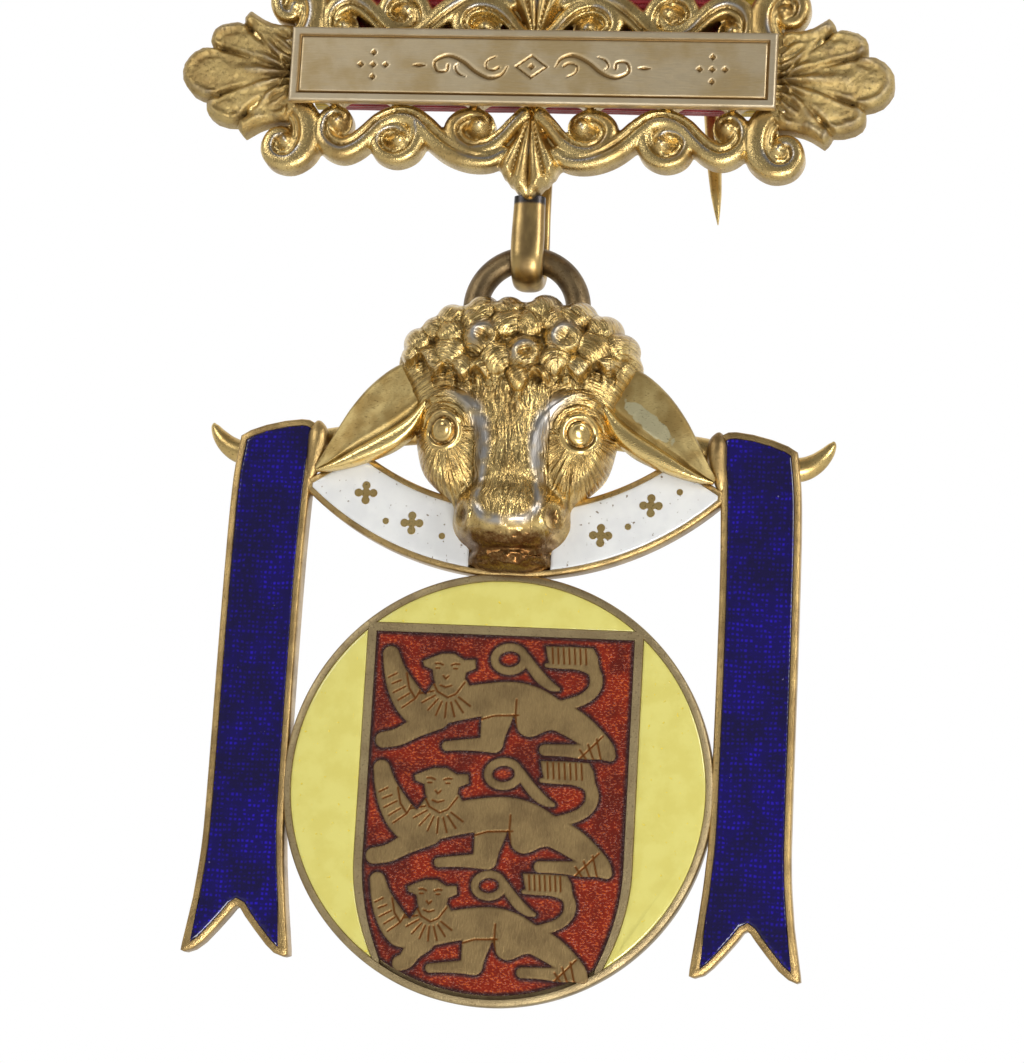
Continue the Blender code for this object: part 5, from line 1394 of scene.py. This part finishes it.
# Engraved lines, in the same thousandths
LION_CUTS = [
    [(224, 640), (247, 550), (291, 500), (324, 532), (360, 640)],     # round the face
    [(232, 796), (248, 800), (264, 786)], [(300, 786), (316, 800), (332, 796)],
    [(236, 757), (250, 757)], [(310, 757), (324, 757)],                   # eyes under brows
    [(268, 690), (279, 664), (290, 690)], [(258, 606), (280, 590), (304, 606)],
    [(579, 506), (578, 381), (586, 188)],                                     # flank
    [(590, 370), (489, 356), (398, 292)],                                     # belly
    [(852, 14), (901, 119), (944, 216)],                                     # heel and its hair
    [(878, 13), (852, 90)], [(909, 13), (884, 140)], [(940, 11), (919, 190)],
    [(114, 702), (128, 568), (157, 481), (180, 575)],                     # raised paw
    [(39, 658), (73, 697)], [(56, 603), (91, 635)], [(63, 525), (113, 584)],
    [(85, 460), (130, 523)], [(103, 394), (157, 481)],
]
CHIN = (289, 579)
TUFT_LINES = (716, 739, 762, 785, 808, 831, 854)
CUT_HALF = 0.05
LION_STEP = 0.075
# Each lion's middle across and down from the ring's middle, its length and height, and how far its low
# paw is drawn back as a share of its length
LION_PLACES = [(-0.3, 33.0, 19.7, 9.3, 0.0), (-0.3, 42.4, 20.1, 9.4, 0.0), (-0.9, 51.2, 18.3, 8.7, 0.11)]
LION_FRONT = -TRAY_FRONT + 0.03
BRONZE_LIGHT, BRONZE_DEEP = (0.43, 0.295, 0.13), (0.20, 0.13, 0.06)
BRONZE_EDGE, CUT_RED = (0.10, 0.055, 0.025), (0.17, 0.055, 0.012)
# The mane's lines spread from the chin, and the tail's tuft is ruled from top to bottom
for ray in np.radians(np.arange(-168, -20, 19)):
    spoke = np.array([math.cos(ray) * 470, math.sin(ray) * 1000])
    LION_CUTS.append([CHIN + spoke * 0.125, CHIN + spoke * 0.255])
for ruled in TUFT_LINES:
    LION_CUTS.append([(ruled, 972), (ruled + 6, 838)])


def lion_places(x, z, lion):
    """Places along and up from one lion's own corner, and a thousandth of its length and height."""
    middle, below, long, tall, _ = lion
    return x - middle + long / 2, z - (RING_Z - below) + tall / 2, np.array([long, tall]) / 1000


def lion_edge(x, z, lion):
    """The distance outside one lion: its limbs are strokes and its head, mane and tuft are outlines."""
    along, up, size = lion_places(x, z, lion)
    away = np.full(x.shape, 1.5)
    for area in LION_AREAS.values():
        away = np.minimum(away, polygon(along, up, np.array(area) * size))
    for name, limb in LION_LIMBS.items():
        line = np.array(limb, float)
        if name == "low_paw":
            line[:, 0] += np.array([100, 500, 900, 1200]) * lion[4]
        gap, _, _ = stroke(along, up, curve(line * (*size, size[1]), 4))
        away = joined(away, gap, 0.10)
    return away


def lion_cuts(x, z, lion):
    """One in the middle of an engraved line, and nought past its edge."""
    along, up, size = lion_places(x, z, lion)
    cut = np.zeros(x.shape)
    for line in LION_CUTS:
        line = np.column_stack([np.array(line) * size, np.full(len(line), CUT_HALF)])
        gap, _, _ = stroke(along, up, line)
        cut = np.maximum(cut, ramp(gap, 0.07, 0))
    return cut


def lion(x, z, which):
    """A flat front whose edge and engraved lines sink a little."""
    away, cut = lion_edge(x, z, which), lion_cuts(x, z, which)
    return away, LION_FRONT - 0.02 * ramp(away, -0.12, 0) - 0.03 * cut


def lion_marks(x, z, which):
    """The engraved lines, and a narrow darkened edge."""
    return {"cut": lion_cuts(x, z, which), "edge": ramp(lion_edge(x, z, which), -0.14, 0)}


lion_gilt, place = new_finish("rubbed_gilt_lions", {"Metallic": 1.0})
lines = place.stretched(1, 1, 0.25).noise(8.0, 4.0)
dull = place.noise(0.5, 4.0).rise(0.38, 0.66)
bronze = (dull * 0.45 + lines * 1.3 - 0.45).mix(BRONZE_LIGHT, BRONZE_DEEP)
bronze = (place.mark("edge") * 0.8).mix(bronze, BRONZE_EDGE)
wire_up(lion_gilt, {"Base Color": place.mark("cut").mix(bronze, CUT_RED), "Roughness": 0.32 + lines * 0.2,
                    "Normal": lines.bump(0.030)})
for n, which in enumerate(LION_PLACES):
    middle, below, long, tall, _ = which
    low = (middle - long / 2 - 0.6, RING_Z - below - tall / 2 - 0.5)
    high = (middle + long / 2 + 0.6, RING_Z - below + tall / 2 + 0.5)
    piece = cast(f"lion_{n + 1}", low, high, LION_STEP, lambda x, z: lion(x, z, which), TRAY_FLOOR,
                 wear=0.10, marks=lambda x, z: lion_marks(x, z, which))
    dress(piece, "pendant", "pendant_frame", lion_gilt)


# Red field
# Clear red enamel over roughened metal: orange where the metal shines through. It is drawn up a little
# beside the lions and the border, and coloured darker in a narrow band there.

RED_SINK = 0.05
RED_STEP = 0.12
RED_GLOW, RED_CLOUD = (0.19, 0.012, 0.002), (0.09, 0.006, 0.002)
RED_FLECK, RED_DARK = (0.44, 0.066, 0.004), (0.022, 0.006, 0.005)


def red_field(x, z):
    """The shield's inside, level, and drawn up beside its edge and the lions by the distance to them."""
    away = polygon(x, z, red_outline())
    return away, -TRAY_FRONT - RED_SINK + RED_SINK * near_metal(x, z) * 0.6


def near_metal(x, z):
    """One beside the lions and the border, falling to nought a little way off."""
    gap = -polygon(x, z, red_outline())
    for which in LION_PLACES:
        gap = np.minimum(gap, lion_edge(x, z, which))
    return ramp(gap, 0.374, 0.154)


red, place = new_finish("clear_red_enamel", CLEAR_GLASS)
fleck = place.stretched(1.0, 1.0, 1.6).noise(4.6, 4.0).rise(0.50, 0.66)
clouded = place.noise(0.4, 3.0).rise(0.35, 0.65)
glow = (fleck * (1.0 - clouded * 0.65)).mix(clouded.mix(RED_GLOW, RED_CLOUD), RED_FLECK)
wire_up(red, {"Base Color": (place.mark("near") * 0.95).mix(glow, RED_DARK),
              "Roughness": 0.16 + fleck * 0.1,
              "Normal": (place.noise(0.9, 3.0) + fleck * 0.2).bump(0.06)})
half_width, deepest = SHIELD_HALF + 0.3, DISC_Z - DISC_RADIUS
piece = cast("red_fill", (-half_width, deepest), (half_width, DISC_Z + SHIELD_RISE + 0.3), RED_STEP,
             red_field, TRAY_FLOOR, marks=lambda x, z: {"near": near_metal(x, z)})
dress(piece, "pendant", "red_enamel", red)


# Bridge and loop
# Behind the head a strip is soldered across the hollow, with the wire loop that hangs on the ring.

BRIDGE = ((-9.38, 0.6, -49.18), (9.38, 1.75, -46.3))
LOOP_RADIUS, LOOP_WIRE = 2.05, 0.6

bridge = block("bridge", *BRIDGE, 0.25)
dress(bridge, "pendant", "pendant_frame", plain_gilt)
loop = torus("loop", (0, RING_Y, RING_Z - RING_RADIUS), (0, 1, 0), (0, 0, 1), LOOP_RADIUS, LOOP_WIRE,
             64, 20)
dress(loop, "pendant", "pendant_frame", plain_gilt)


# Stage
# A plain pale floor far below the hanging jewel, soft studio light that comes mostly from low in front,
# and a camera that looks up a little from the jewel's right.

FLOOR_Z = -0.32
TARGET = Vector((0.25, 0, -62.25)) * MM
AZIMUTH, ELEVATION, ROLL = 7.9, -9.45, 3.27
DISTANCE = 270 * MM
LENS = 112.1
PAPER, PAPER_CLOUD = (0.86, 0.86, 0.85), (0.90, 0.90, 0.89)
SKY_FRONT, SKY_BACK = (0.24, 0.24, 0.24), (1.0, 1.0, 1.0)

floor_mesh = bpy.data.meshes.new("floor")
corners = [(-2, -2, FLOOR_Z), (2, -2, FLOOR_Z), (2, 2, FLOOR_Z), (-2, 2, FLOOR_Z)]
floor_mesh.from_pydata(corners, [], [(0, 1, 2, 3)])
floor = placed("floor", floor_mesh)
paper, place = new_finish("pale_paper", {"Roughness": 0.9})
wire_up(paper, {"Base Color": place.noise(0.02, 2.0).mix(PAPER, PAPER_CLOUD)})
floor_mesh.materials.append(paper)

azimuth, elevation = math.radians(AZIMUTH), math.radians(ELEVATION)
direction = Vector((math.sin(azimuth) * math.cos(elevation), -math.cos(azimuth) * math.cos(elevation),
                    math.sin(elevation)))
camera = placed("camera", bpy.data.cameras.new("camera"))
camera.location = TARGET + direction * DISTANCE
camera.rotation_mode = "QUATERNION"
camera.rotation_quaternion = direction.to_track_quat("Z", "Y") @ Quaternion((0, 0, 1), math.radians(ROLL))
camera.data.lens = LENS
camera.data.clip_start = 0.01
bpy.context.scene.camera = camera


def lamp(name, position, size, power):
    """A square soft light that faces the jewel's middle."""
    light = bpy.data.lights.new(name, "AREA")
    light.size = size
    light.energy = power
    made = placed(name, light)
    made.location = Vector(position)
    made.rotation_mode = "QUATERNION"
    made.rotation_quaternion = (made.location - TARGET).to_track_quat("Z", "Y")


lamp("low_front", (0.13, -0.30, -0.27), 0.14, 0.85)
lamp("upper_left", (-0.30, -0.32, 0.14), 0.16, 0.50)
lamp("upper_right", (0.34, -0.26, 0.06), 0.14, 0.68)
world = bpy.data.worlds.new("studio")
bpy.context.scene.world = world
world.use_nodes = True
way = Shade(world.node_tree).node("TexCoord", {}, {}, "Generated")
grey = way.part(1).rise(-0.50, 0.45).mix(SKY_FRONT, SKY_BACK)
world.node_tree.links.new(grey.socket, world.node_tree.nodes["Background"].inputs["Color"])
bpy.context.scene.view_settings.view_transform = "Standard"
